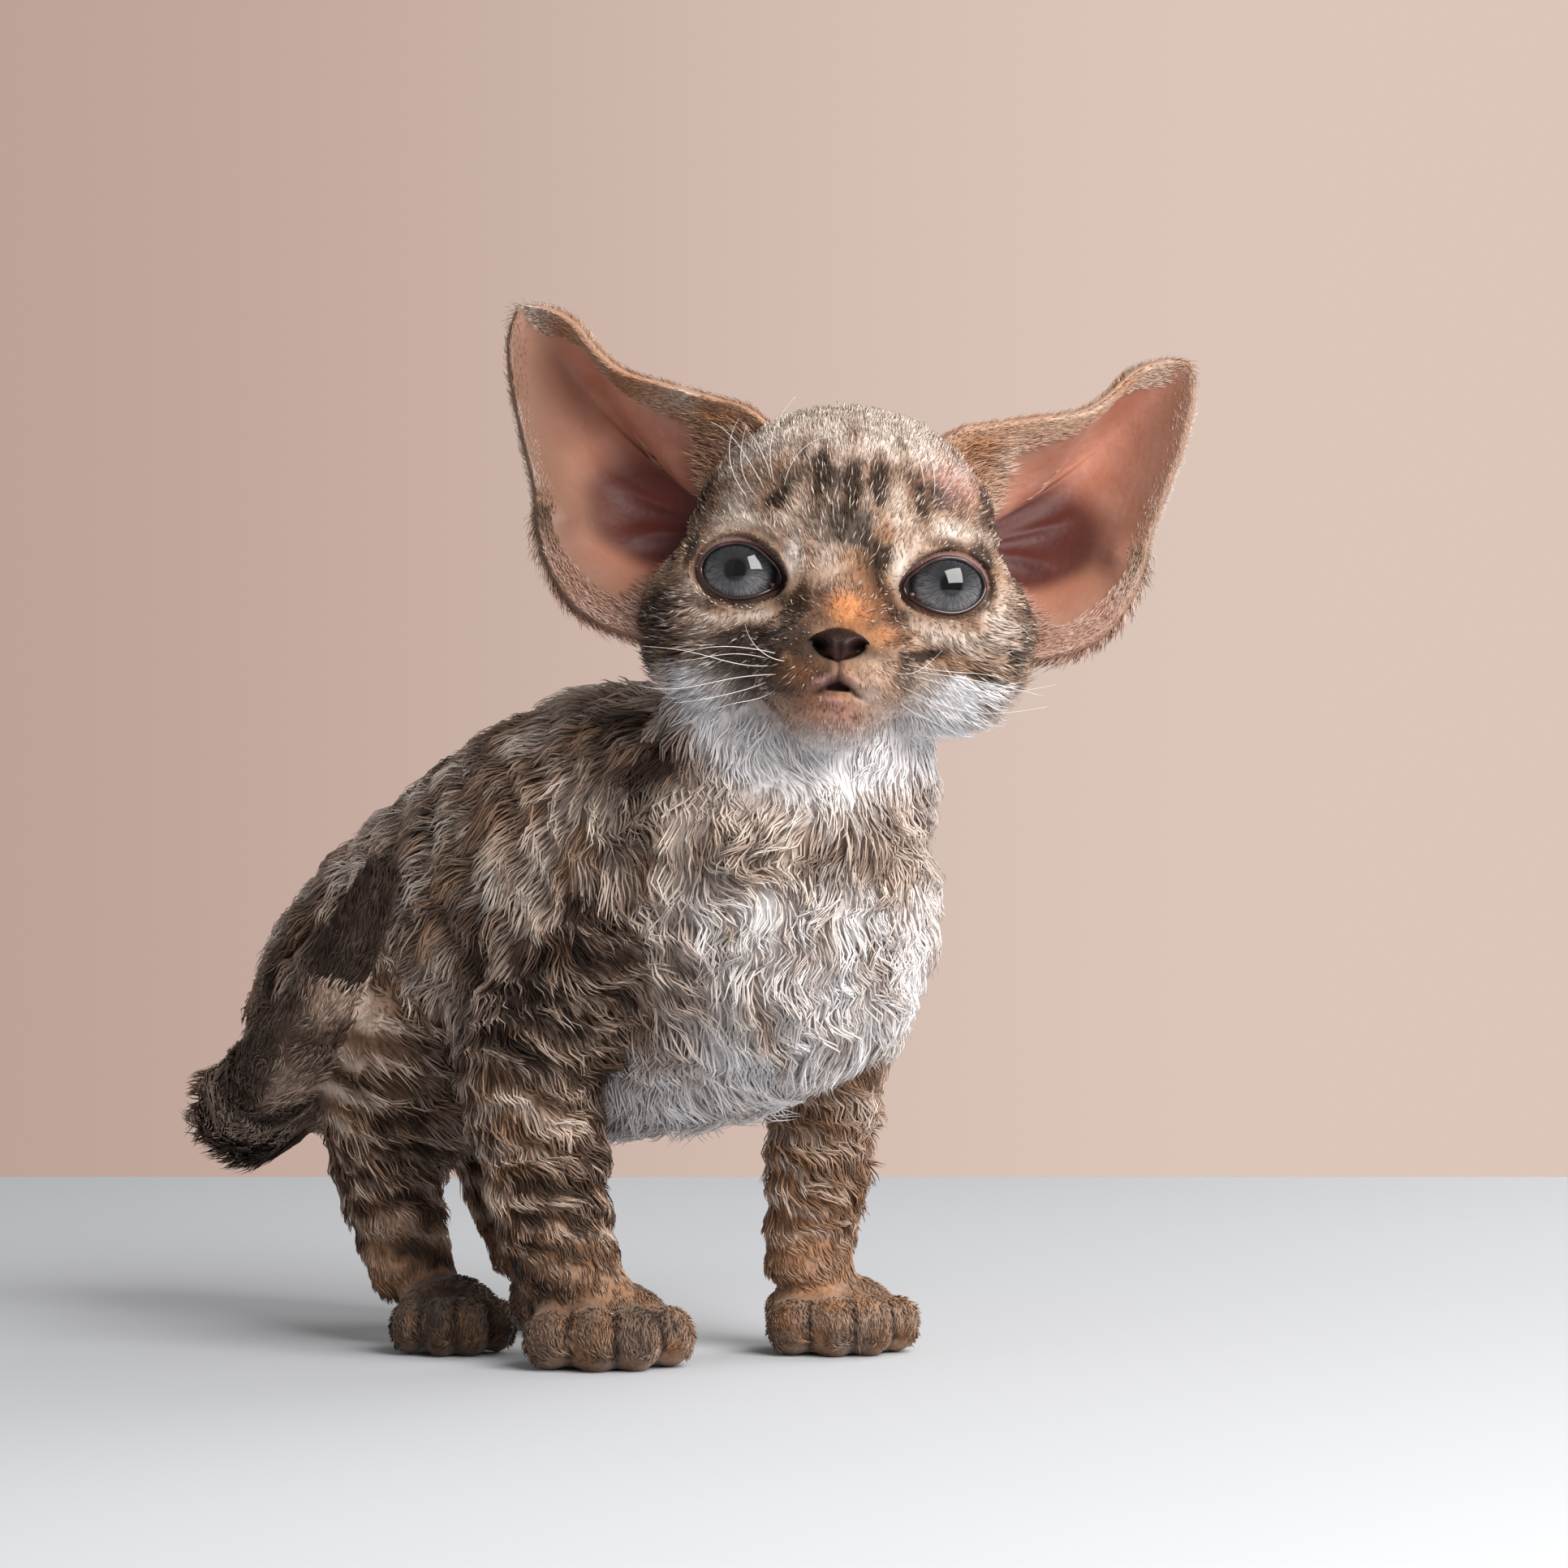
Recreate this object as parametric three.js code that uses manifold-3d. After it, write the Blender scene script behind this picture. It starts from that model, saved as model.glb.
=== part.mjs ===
// A five-week-old Devon Rex kitten, standing, life size. Millimetres, +Z up.
// The face looks along -Y, and the trunk runs back to -X and +Y from the chest.

import * as THREE from 'three';
import { mergeVertices } from 'three/addons/utils/BufferGeometryUtils.js';
import Module from 'manifold-3d';

const wasm = await Module();
wasm.setup();

// Driving dimensions
const GAP = 0.3;
const TRUNK_HEADING = 46;
const CHEST = [-2, 12];
const HEAD_CENTRE = [9.6, 5, 130];
const HEAD_ROLL = 4;
const HEAD_PITCH = -3;
const EYE_RADIUS = 8;
const EYE_APART = 31.4;
const EYE_DEPTH = -8.6;
const EYE_LEVEL = -2.8;
const LID_HALF = [7.3, 5.3];
const LID_THICK = 1;
const LID_LAP = 0.5;
const EYE_TURN = 12;
const EAR_SCALE = { right: 1.05, left: 1 };

const CURL_DEPTH = 3;
const TAIL_CURL_DEPTH = 2;
const TAIL_ROOM = 6;
const CUT_GROWTH = 1.5;

// Curls: grid, then length and width as shares of their spacing, height and root as shares of depth
const CURL = {
  sides: 6,
  stations: 4,
  tries: 2600,
  long: [1.35, 1.5],
  wide: [1.12, 1.22],
  high: [1.26, 1.54],
  sunk: 0.2,
  bow: 0.25,
  swerve: 0.5,
  taper: 0.15,
  tipLift: 0.12,
  endDroop: 0.3,
};
const TORSO_CURLS = { range: [-1, 1.02], spacing: 20.8 };
const NECK_CURLS = { range: [0.1, 1], spacing: 17.5 };
const LEG_CURLS = { range: [-0.4, 1], spacing: 16.4 };
const TAIL_CURLS = { range: [0.22, 1.5], spacing: 16 };

const rad = (degrees) => (degrees * Math.PI) / 180;
const V = (x, y, z) => new THREE.Vector3(x, y, z);
const gauss = (value) => Math.exp(-value * value);

// Trunk axes: "back" runs from the chest to the rump, "left" is the animal's own left
const BACK = V(-Math.sin(rad(TRUNK_HEADING)), Math.cos(rad(TRUNK_HEADING)), 0);
const LEFT = V(Math.cos(rad(TRUNK_HEADING)), Math.sin(rad(TRUNK_HEADING)), 0);
const FRONT = BACK.clone().negate();
const UP = V(0, 0, 1);

// The neck is parted from the trunk by a plane that rises from the throat to the withers
const THROAT = V(-2, 12, 96);
const THROAT_NORMAL = UP.clone().addScaledVector(BACK, -0.6).normalize();

// A place on the trunk: distance behind the chest, to its left, and above the floor
function at(back, left, up) {
  return V(CHEST[0], CHEST[1], up).addScaledVector(BACK, back).addScaledVector(LEFT, left);
}

// Solids and booleans
function weld(geometry) {
  geometry.deleteAttribute('uv');
  geometry.deleteAttribute('normal');
  return mergeVertices(geometry, 1e-4);
}

function signedVolume(positions, triangles) {
  let sum = 0;
  const a = new THREE.Vector3();
  const b = new THREE.Vector3();
  const c = new THREE.Vector3();
  for (let i = 0; i < triangles.length; i += 3) {
    a.fromArray(positions, triangles[i] * 3);
    b.fromArray(positions, triangles[i + 1] * 3);
    c.fromArray(positions, triangles[i + 2] * 3);
    sum += a.dot(b.cross(c));
  }
  return sum / 6;
}

function solid(geometry) {
  const welded = weld(geometry);
  const positions = new Float32Array(welded.attributes.position.array);
  const triangles = [];
  const index = welded.index.array;
  for (let i = 0; i < index.length; i += 3) {
    const [a, b, c] = [index[i], index[i + 1], index[i + 2]];
    if (a !== b && b !== c && c !== a) triangles.push(a, b, c);
  }
  if (signedVolume(positions, triangles) < 0) {
    for (let i = 0; i < triangles.length; i += 3) {
      [triangles[i + 1], triangles[i + 2]] = [triangles[i + 2], triangles[i + 1]];
    }
  }
  const triVerts = new Uint32Array(triangles);
  return new wasm.Manifold(new wasm.Mesh({ numProp: 3, vertProperties: positions, triVerts }));
}

const join = (pieces) => pieces.reduce((whole, piece) => whole.add(piece));

function largest(body) {
  return body.decompose().sort((a, b) => b.volume() - a.volume())[0];
}

function mesh(body, name, colour, roughness) {
  const kept = largest(body).getMesh();
  const geometry = new THREE.BufferGeometry();
  geometry.setAttribute('position', new THREE.BufferAttribute(new Float32Array(kept.vertProperties), 3));
  geometry.setIndex(new THREE.BufferAttribute(new Uint32Array(kept.triVerts), 1));
  const material = new THREE.MeshStandardMaterial({ color: colour, roughness, metalness: 0 });
  const piece = new THREE.Mesh(geometry, material);
  piece.name = name;
  return piece;
}

// The grid of a sphere laid onto a surface: place(v, angle), v from pole to pole
function wrap(sides, stations, place) {
  const geometry = new THREE.SphereGeometry(1, sides, stations);
  const position = geometry.attributes.position;
  for (let i = 0; i < position.count; i += 1) {
    const row = Math.floor(i / (sides + 1));
    const column = (i % (sides + 1)) % sides;
    const p = place(row / stations, (column / sides) * 2 * Math.PI);
    position.setXYZ(i, p.x, p.y, p.z);
  }
  return geometry;
}

// A value along a list of control values, smooth through each of them
function along(values, t) {
  const span = Math.min(Math.max(t, 0), 1) * (values.length - 1);
  const i = Math.min(Math.floor(span), values.length - 2);
  const f = span - i;
  const p0 = values[Math.max(i - 1, 0)];
  const p1 = values[i];
  const p2 = values[i + 1];
  const p3 = values[Math.min(i + 2, values.length - 1)];
  const a = 2 * p1;
  const b = (p2 - p0) * f;
  const c = (2 * p0 - 5 * p1 + 4 * p2 - p3) * f * f;
  const d = (3 * p1 - p0 - 3 * p2 + p3) * f * f * f;
  return (a + b + c + d) / 2;
}

// A rounded limb: centres with a width along the side and a depth along the reference
class Limb {
  constructor(stops, reference, startCap, endCap, curlDepth = CURL_DEPTH) {
    this.centres = stops.map((stop) => stop[0]);
    this.widths = stops.map((stop) => stop[1]);
    this.depths = stops.map((stop) => stop[2]);
    this.reference = reference;
    this.caps = [startCap, endCap];
    this.curlDepth = curlDepth;
  }

  centre(t) {
    const [x, y, z] = ['x', 'y', 'z'].map((axis) => along(this.centres.map((c) => c[axis]), t));
    return V(x, y, z);
  }

  tangent(t) {
    const step = 0.08;
    return this.centre(Math.min(t + step, 1)).sub(this.centre(Math.max(t - step, 0))).normalize();
  }

  // A point of the surface; t below 0 or above 1 runs over the round ends
  point(t, angle, grow = 0, corners = 1) {
    const inside = Math.min(Math.max(t, 0), 1);
    const over = t - inside;
    const forward = this.tangent(inside);
    const side = forward.clone().cross(this.reference).normalize();
    const top = side.clone().cross(forward);
    const cap = (over < 0 ? this.caps[0] : this.caps[1]) + grow;
    const lift = Math.min(Math.abs(over), 1);
    const scale = Math.sqrt(Math.max(0, 1 - lift * lift)) * corners;
    const p = this.centre(inside).addScaledVector(forward, Math.sign(over) * lift * cap);
    p.addScaledVector(side, Math.cos(angle) * scale * (along(this.widths, inside) / 2 + grow));
    p.addScaledVector(top, Math.sin(angle) * scale * (along(this.depths, inside) / 2 + grow));
    return p;
  }

  body(sides, steps, capSteps, grow = 0) {
    const stations = steps + 2 * capSteps;
    const corners = 2 / (1 + Math.cos(Math.PI / sides));
    return solid(wrap(sides, stations, (v, angle) => {
      const k = Math.round(v * stations);
      let t = (k - capSteps) / steps;
      if (k < capSteps) t = -Math.cos((k / capSteps) * (Math.PI / 2));
      if (k > stations - capSteps) t = 1 + Math.cos(((stations - k) / capSteps) * (Math.PI / 2));
      return this.point(t, angle, grow, corners);
    }));
  }
}

// Trunk, neck, legs and tail: centre, width, depth out to the tips of the coat
const TRUNK = new Limb([
  [at(-10, 0, 75), 48, 58],
  [at(8, 0, 75), 54, 71],
  [at(30, 0, 74.5), 56, 78],
  [at(52, 0, 69.5), 57, 75],
  [at(74, 0, 63.5), 54, 65],
  [at(92, 0, 57), 48, 55],
  [at(106, 0, 49.5), 38, 43],
  [at(117, 0, 42), 25, 27],
], UP, 18, 8);

const NECK = new Limb([
  [at(2, 1, 80), 50, 50],
  [V(1, 18, 95), 53, 50],
  [V(3, 15, 108), 49, 46],
  [V(8, 12, 122), 40, 38],
], FRONT, 10, 8);

const FORELEG_RIGHT = new Limb([
  [at(18, -17, 72), 26, 32],
  [V(-41, 17, 52), 26, 30],
  [V(-40, 14, 36), 24, 26],
  [V(-38, 12, 23), 23.5, 23],
  [V(-34, 10, 12), 23, 22],
], FRONT, 10, 5);

const FORELEG_LEFT = new Limb([
  [at(10, 16, 72), 24, 30],
  [V(7, 32, 54), 22, 26],
  [V(6, 33, 40), 21, 22],
  [V(5, 33, 26), 20.5, 20.5],
  [V(4, 32, 13), 21, 20],
], FRONT, 10, 5);

const HINDLEG_RIGHT = new Limb([
  [at(76, -14, 68), 30, 38],
  [at(72, -18, 53), 32, 42],
  [at(71, -20, 39), 26, 34],
  [at(70, -21, 26), 20, 24],
  [at(62, -23, 12), 19, 21],
], FRONT, 10, 5);

const HINDLEG_LEFT = new Limb([
  [at(84, 13, 66), 30, 36],
  [at(82, 17, 52), 32, 40],
  [at(84, 19, 39), 25, 32],
  [at(84, 19, 26), 19, 23],
  [at(77, 18, 12), 18, 20],
], FRONT, 10, 5);

const TAIL = new Limb([
  [at(104, 1, 45), 15, 15],
  [V(-93, 81, 38), 20, 19.5],
  [V(-91.5, 66, 41), 18, 18],
  [V(-85, 50, 48), 16, 16],
  [V(-78, 40, 58), 13.5, 13.5],
  [V(-70.5, 33.5, 70), 11, 11],
  [V(-66, 31, 79), 8, 8],
], V(0.3, 0.2, 1).normalize(), 6, 4, TAIL_CURL_DEPTH);

// Head: rounded forms [centre, half sizes, paired] that melt into one another
const HEAD_FORMS = [
  [[0, 5, 3], [25.5, 28, 24.3], false],
  [[15.5, 0, -10], [16.5, 18, 15.5], true],
  [[0, -14.5, -17], [13.5, 13, 10.5], false],
  [[0, -17, -9], [6, 11.5, 6.5], false],
  [[5.6, -20, -18], [6.6, 8.6, 5.8], true],
  [[0, -13.5, -22.5], [8.5, 10.5, 8], false],
  [[15.2, -7.2, -2.2], [11.2, 10.2, 9.5], true],
];
const HEAD_MELT = 1.4;
const HEAD_HEART = V(0, 0, -5);
const FRONT_CROWDING = 1.15;
const SOCKET = { reach: [7.5, 6], deep: 1.2 };

// Roughly the distance outside the melted forms, less than nothing inside them
function headOutside(p) {
  let sum = 0;
  for (const [centre, half, paired] of HEAD_FORMS) {
    const mean = (half[0] + half[1] + half[2]) / 3;
    for (const sign of paired ? [1, -1] : [1]) {
      const off = [p.x - sign * centre[0], p.y - centre[1], p.z - centre[2]];
      const size = Math.hypot(off[0] / half[0], off[1] / half[1], off[2] / half[2]);
      sum += Math.exp(-((size - 1) * mean) / HEAD_MELT);
    }
  }
  return -HEAD_MELT * Math.log(sum);
}

// Where a ray that starts inside the head at "near" leaves it
function skinAlong(start, ray, near, far, grow = 0) {
  let [low, high] = [near, far];
  for (let step = 0; step < 24; step += 1) {
    const middle = (low + high) / 2;
    if (headOutside(start.clone().addScaledVector(ray, middle)) < grow) low = middle;
    else high = middle;
  }
  return start.clone().addScaledVector(ray, low);
}

// The skin of the face straight in front of a place across and up the head
const onFace = (x, z) => skinAlong(V(x, 0, z), V(0, -1, 0), 0, 40);

function headPoint(v, angle, grow = 0) {
  const polar = Math.PI * v ** FRONT_CROWDING;
  const ray = V(Math.sin(polar) * Math.cos(angle), -Math.cos(polar), Math.sin(polar) * Math.sin(angle));
  const p = skinAlong(HEAD_HEART, ray, 5, 60, grow);
  for (const sign of [1, -1]) {
    if (p.y > 0) break;
    const across = (p.x - sign * EYE_APART / 2) / SOCKET.reach[0];
    p.y += SOCKET.deep * gauss(across) * gauss((p.z - EYE_LEVEL) / SOCKET.reach[1]);
  }
  return p;
}

const headTurn = new THREE.Matrix4().makeRotationFromEuler(
  new THREE.Euler(rad(HEAD_PITCH), rad(HEAD_ROLL), 0, 'YXZ'),
).setPosition(V(...HEAD_CENTRE));

function headSolid(grow = 0) {
  return solid(wrap(30, 20, (v, angle) => headPoint(v, angle, grow)));
}

// Eyes and lids
const eyeCentre = (sign) => V(sign * EYE_APART / 2, EYE_DEPTH, EYE_LEVEL);

// A place before the eye, in its own axes turned outwards: across, ahead, up
function beforeEye(sign, across, ahead, high) {
  const turn = sign * rad(EYE_TURN);
  const ownX = across * Math.cos(turn) + ahead * Math.sin(turn);
  const ownY = across * Math.sin(turn) - ahead * Math.cos(turn);
  return eyeCentre(sign).add(V(ownX, ownY, high));
}

function ball(centre, half, sides, stations) {
  const geometry = new THREE.SphereGeometry(1, sides, stations);
  geometry.scale(half[0], half[1], half[2]);
  geometry.translate(centre.x, centre.y, centre.z);
  return solid(geometry);
}

function eyeSolid(sign, grow = 0) {
  const radius = EYE_RADIUS + grow;
  return ball(eyeCentre(sign), [radius, radius, radius], 12, 8);
}

function lidSolid(sign) {
  const tube = 0.2;
  const geometry = new THREE.TorusGeometry(1, tube, 5, 16);
  const position = geometry.attributes.position;
  for (let i = 0; i < position.count; i += 1) {
    const [x, y, z] = [position.getX(i), position.getY(i), position.getZ(i)];
    const ring = Math.hypot(x, y);
    const off = (ring - 1) / tube;
    const lift = z / tube;
    const across = (x / ring) * (LID_HALF[0] + off * LID_THICK);
    const high = (y / ring) * (LID_HALF[1] + off * LID_THICK);
    const bulge = Math.sqrt((EYE_RADIUS + GAP) ** 2 - across ** 2 * 0.6 - high ** 2);
    const p = beforeEye(sign, across, bulge + lift * LID_THICK, high);
    position.setXYZ(i, p.x, p.y, p.z);
  }
  return solid(geometry);
}

// The almond opening between the lids, cut through to the eye
function lidOpening(sign) {
  const geometry = new THREE.SphereGeometry(1, 14, 8);
  geometry.scale(LID_HALF[0] - LID_LAP, EYE_RADIUS, LID_HALF[1] - LID_LAP);
  geometry.rotateZ(sign * rad(EYE_TURN));
  const centre = beforeEye(sign, 0, EYE_RADIUS + 1, 0);
  geometry.translate(centre.x, centre.y, centre.z);
  return solid(geometry);
}

// Nose leather with its nostrils, and the line of the mouth
const NOSE = { centre: V(0, -26.8, -14.2), half: [5, 2.9, 2.7] };

function noseSolid(grow = 0) {
  const { centre, half } = NOSE;
  return solid(wrap(12, 6, (v, angle) => {
    const polar = Math.PI * v;
    const across = Math.sin(polar) * Math.cos(angle);
    const high = Math.sin(polar) * Math.sin(angle);
    const taper = 1 + 0.28 * high;
    return V(
      centre.x + across * (half[0] + grow) * taper,
      centre.y - Math.cos(polar) * (half[1] + grow),
      centre.z + high * (half[2] + grow),
    );
  }));
}

function nostril(sign) {
  const geometry = new THREE.SphereGeometry(1, 7, 4);
  geometry.scale(1.3, 2, 0.75);
  geometry.rotateY(sign * 0.5);
  geometry.translate(sign * 3.1, NOSE.centre.y - NOSE.half[1], NOSE.centre.z - 0.4);
  return solid(geometry);
}

// The line of the mouth and the cleft above it, as places across and up the face
const MOUTH_LINE = [[-10, -26], [-7, -24.4], [-3.2, -22.6], [0, -21], [3.2, -22.6], [7, -24.4], [10, -26]];
const LIP_CLEFT = [[0, -16.4], [0, -18.6], [0, -21]];

function groove(places, radius, steps) {
  const circle = new THREE.Shape().absarc(0, 0, radius, 0, 2 * Math.PI);
  const curve = new THREE.CatmullRomCurve3(places.map(([x, z]) => onFace(x, z)));
  const options = { extrudePath: curve, steps, curveSegments: 2 };
  return solid(new THREE.ExtrudeGeometry(circle, options));
}

// Ears: a fan of skin from a deep root to the rim, hollowed towards the front
const EAR_ROOT = V(23, 12, 6);
const EAR_RIM = [
  [16, 3, 24], [22, 3, 25.5], [30, 4, 27.3], [37, 5.5, 29], [41.5, 7, 32], [46, 9, 36.8],
  [51, 11, 39.2], [54.8, 12, 38.6], [55.9, 11, 33], [54.5, 9.5, 25], [52.2, 8, 17], [50, 6, 10],
  [49, 4.5, 3.5], [46.8, 3, -2.5], [42.7, 1, -8], [37, -1, -11.4], [30, -2, -13],
].map((p) => V(...p));
const EAR_HOLLOW = 9;
const EAR_THICK = [3.2, 1.3];

function earSheet(t, r) {
  const rim = new THREE.CatmullRomCurve3(EAR_RIM).getPoint(t);
  const p = EAR_ROOT.clone().lerp(rim, 0.12 + 0.88 * r);
  p.y += EAR_HOLLOW * Math.sin(Math.PI * r ** 0.85) * (0.35 + 0.65 * Math.sin(Math.PI * t));
  return p;
}

function earSolid(sign, scale, grow = 0) {
  const geometry = new THREE.BoxGeometry(1, 1, 1, 15, 5, 1);
  const position = geometry.attributes.position;
  const step = 0.01;
  for (let i = 0; i < position.count; i += 1) {
    const t = position.getX(i) + 0.5;
    const r = position.getY(i) + 0.5;
    const middle = earSheet(t, r);
    const acrossT = earSheet(Math.min(t + step, 1), r).sub(earSheet(Math.max(t - step, 0), r));
    const acrossR = earSheet(t, Math.min(r + step, 1)).sub(earSheet(t, Math.max(r - step, 0)));
    const normal = acrossT.cross(acrossR).normalize();
    const thick = EAR_THICK[0] + (EAR_THICK[1] - EAR_THICK[0]) * r + 2 * grow;
    const p = middle.addScaledVector(normal, position.getZ(i) * thick);
    p.sub(EAR_ROOT).multiplyScalar(scale).add(EAR_ROOT);
    position.setXYZ(i, sign * p.x, p.y, p.z);
  }
  return solid(geometry);
}

// Paws: a pad of the foot and four toes, cut flat where they stand
function pawSolid(centre, toeTurn, width, length, height, grow = 0) {
  const ahead = V(Math.sin(rad(toeTurn)), -Math.cos(rad(toeTurn)), 0);
  const across = V(Math.cos(rad(toeTurn)), Math.sin(rad(toeTurn)), 0);
  const pieces = [ball(
    centre.clone().addScaledVector(ahead, -length * 0.12).setZ(height * 0.5),
    [width * 0.43 + grow, length * 0.42 + grow, height * 0.56 + grow],
    10,
    6,
  )];
  for (const place of [-1.5, -0.5, 0.5, 1.5]) {
    const inner = Math.abs(place) < 1;
    const reach = length * (inner ? 0.3 : 0.17);
    const toe = centre.clone().addScaledVector(across, place * width * 0.235);
    toe.addScaledVector(ahead, reach).setZ(height * 0.36);
    pieces.push(ball(toe, [
      width * 0.16 + grow,
      length * (inner ? 0.27 : 0.25) + grow,
      height * (inner ? 0.46 : 0.42) + grow,
    ], 7, 5));
  }
  return join(pieces);
}

function block(low, high) {
  const geometry = new THREE.BoxGeometry(high[0] - low[0], high[1] - low[1], high[2] - low[2]);
  geometry.translate((low[0] + high[0]) / 2, (low[1] + high[1]) / 2, (low[2] + high[2]) / 2);
  return solid(geometry);
}

const PAWS = {
  forepaw_right: [V(-29.5, 8, 0), 14, 29, 27, 13.5],
  forepaw_left: [V(8.6, 31, 0), 18, 27, 25, 13],
  hindpaw_right: [V(-56, 31, 0), 10, 22, 25, 12.5],
  hindpaw_left: [V(-39, 72, 0), 16, 21, 25, 12.5],
};
const pawBody = (name, grow = 0) => {
  const [centre, turn, width, length, height] = PAWS[name];
  return pawSolid(centre, turn, width, length, height, grow);
};

// Curls: rounded clumps of the coat, their roots sunk in the body, lying towards the tail
let seed = 37;
function random(low, high) {
  seed = (seed * 16807) % 2147483647;
  return low + (high - low) * (seed / 2147483647);
}

function curl(place, size, depth) {
  const { root, outward, lie } = place;
  const flow = lie.clone().applyAxisAngle(outward, random(-CURL.swerve, CURL.swerve));
  const side = flow.clone().cross(outward);
  const long = size * random(...CURL.long);
  const wide = size * random(...CURL.wide);
  const high = depth * random(...CURL.high);
  const bow = random(-CURL.bow, CURL.bow) * wide;
  const geometry = new THREE.SphereGeometry(1, CURL.sides, CURL.stations);
  const position = geometry.attributes.position;
  for (let i = 0; i < position.count; i += 1) {
    const [x, y, z] = [position.getX(i), position.getY(i), position.getZ(i)];
    const p = root.clone().addScaledVector(flow, y * long * 0.5);
    p.addScaledVector(side, x * wide * 0.5 * (1 - CURL.taper * y) + bow * y * y);
    const rise = z + y * CURL.tipLift - y * y * CURL.endDroop;
    p.addScaledVector(outward, rise * high - CURL.sunk * depth);
    position.setXYZ(i, p.x, p.y, p.z);
  }
  return solid(geometry);
}

// True where another limb already covers a place
function covered(limb, p) {
  return [TRUNK, NECK, ...Object.values(LIMBS).map(([other]) => other)].some((other) => {
    if (other === limb) return false;
    for (let t = 0; t <= 1; t += 0.05) {
      const spare = other === TAIL ? TAIL_ROOM : -other.curlDepth;
      const narrow = Math.min(along(other.widths, t), along(other.depths, t)) / 2 + spare;
      if (p.distanceTo(other.centre(t)) < narrow) return true;
    }
    return false;
  });
}

// Evenly spread places on the core, and the way that the coat lies there
function places(limb, { range, spacing }, lying) {
  const step = 0.02;
  const found = [];
  const core = (t, angle) => limb.point(t, angle, -limb.curlDepth);
  for (let i = 0; i < CURL.tries; i += 1) {
    const t = random(...range);
    const angle = random(0, 2 * Math.PI);
    const root = core(t, angle);
    if (found.some((other) => other.root.distanceTo(root) < spacing) || covered(limb, root)) continue;
    const onwards = core(t + step, angle).sub(core(t - step, angle));
    const around = core(t, angle + step).sub(core(t, angle - step));
    const outward = around.clone().cross(onwards).normalize();
    if (outward.dot(root.clone().sub(limb.centre(Math.min(Math.max(t, 0), 1)))) < 0) outward.negate();
    const lie = (lying || onwards).clone().projectOnPlane(outward).normalize();
    found.push({ root, outward, lie });
  }
  return found;
}

const coat = (limb, curls, lying) => (
  places(limb, curls, lying).map((place) => curl(place, curls.spacing, limb.curlDepth))
);

// Regions that part the body where its parts are named, each a thin cut wide
function throatRegion(grow = 0) {
  const side = 200;
  const geometry = new THREE.BoxGeometry(side, side, side);
  const turn = new THREE.Quaternion().setFromUnitVectors(UP, THROAT_NORMAL);
  geometry.applyQuaternion(turn);
  const middle = THROAT.clone().addScaledVector(THROAT_NORMAL, side / 2 - grow);
  geometry.translate(middle.x, middle.y, middle.z);
  return solid(geometry);
}

const aboveFloor = block([-200, -200, 0], [200, 200, 300]);
const headGrown = headSolid(GAP).transform(headTurn.elements);
const earGrown = [['right', -1], ['left', 1]].map(
  ([side, sign]) => earSolid(sign, EAR_SCALE[side], GAP).transform(headTurn.elements),
);

// Each limb with its grid and its curls
const LIMBS = {
  tail: [TAIL, 8, 9, TAIL_CURLS],
  foreleg_right: [FORELEG_RIGHT, 10, 6, LEG_CURLS],
  foreleg_left: [FORELEG_LEFT, 10, 6, LEG_CURLS],
  hindleg_right: [HINDLEG_RIGHT, 10, 6, LEG_CURLS],
  hindleg_left: [HINDLEG_LEFT, 10, 6, LEG_CURLS],
};
const FLANK_LIE = BACK.clone().addScaledVector(UP, -0.7);
const DOWN = UP.clone().negate();

// Nodes
const group = new THREE.Group();
const fur = '#8f7a6b';
const paleFur = '#b3a295';

let face = headSolid();
for (const sign of [-1, 1]) face = face.add(lidSolid(sign)).subtract(lidOpening(sign));
for (const sign of [-1, 1]) face = face.subtract(eyeSolid(sign, GAP));
face = face.subtract(noseSolid(GAP));
face = face.subtract(groove(MOUTH_LINE, 0.8, 12)).subtract(groove(LIP_CLEFT, 0.5, 3));
group.add(mesh(face.transform(headTurn.elements), 'head', fur, 0.9));

const nose = noseSolid().subtract(nostril(-1)).subtract(nostril(1));
group.add(mesh(nose.transform(headTurn.elements), 'nose', '#4a2f2b', 0.5));

for (const [side, sign] of [['right', -1], ['left', 1]]) {
  group.add(mesh(eyeSolid(sign).transform(headTurn.elements), `eye_${side}`, '#4d5663', 0.1));
  const ear = earSolid(sign, EAR_SCALE[side]).subtract(headSolid(GAP));
  group.add(mesh(ear.transform(headTurn.elements), `ear_${side}`, '#c58a7c', 0.7));
}

for (const name of Object.keys(PAWS)) {
  const paw = pawBody(name).intersect(aboveFloor);
  group.add(mesh(paw, name, '#927560', 0.9));
}

const forms = [TRUNK.body(16, 9, 3, -CURL_DEPTH), NECK.body(12, 4, 2, -CURL_DEPTH)];
forms.push(...coat(TRUNK, TORSO_CURLS, FLANK_LIE), ...coat(NECK, NECK_CURLS, DOWN));
for (const [name, [limb, sides, steps, curls]] of Object.entries(LIMBS)) {
  forms.push(limb.body(sides, steps, 2, -limb.curlDepth));
  forms.push(...coat(limb, curls, name === 'tail' ? null : DOWN));
}
let body = join(forms).intersect(aboveFloor).subtract(headGrown);
for (const ear of earGrown) body = body.subtract(ear);
for (const paw of Object.keys(PAWS)) body = body.subtract(pawBody(paw, GAP));
for (const [name, [limb]] of Object.entries(LIMBS)) {
  const colour = name === 'tail' ? '#4f423b' : fur;
  const region = limb.body(10, 4, 2, CUT_GROWTH);
  const part = body.intersect(region);
  body = body.subtract(limb.body(10, 4, 2, CUT_GROWTH + GAP)).subtract(region);
  group.add(mesh(part, name, colour, 0.9));
}
group.add(mesh(body.intersect(throatRegion()), 'neck', paleFur, 0.9));
group.add(mesh(body.subtract(throatRegion(GAP)), 'torso', fur, 0.9));

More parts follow.
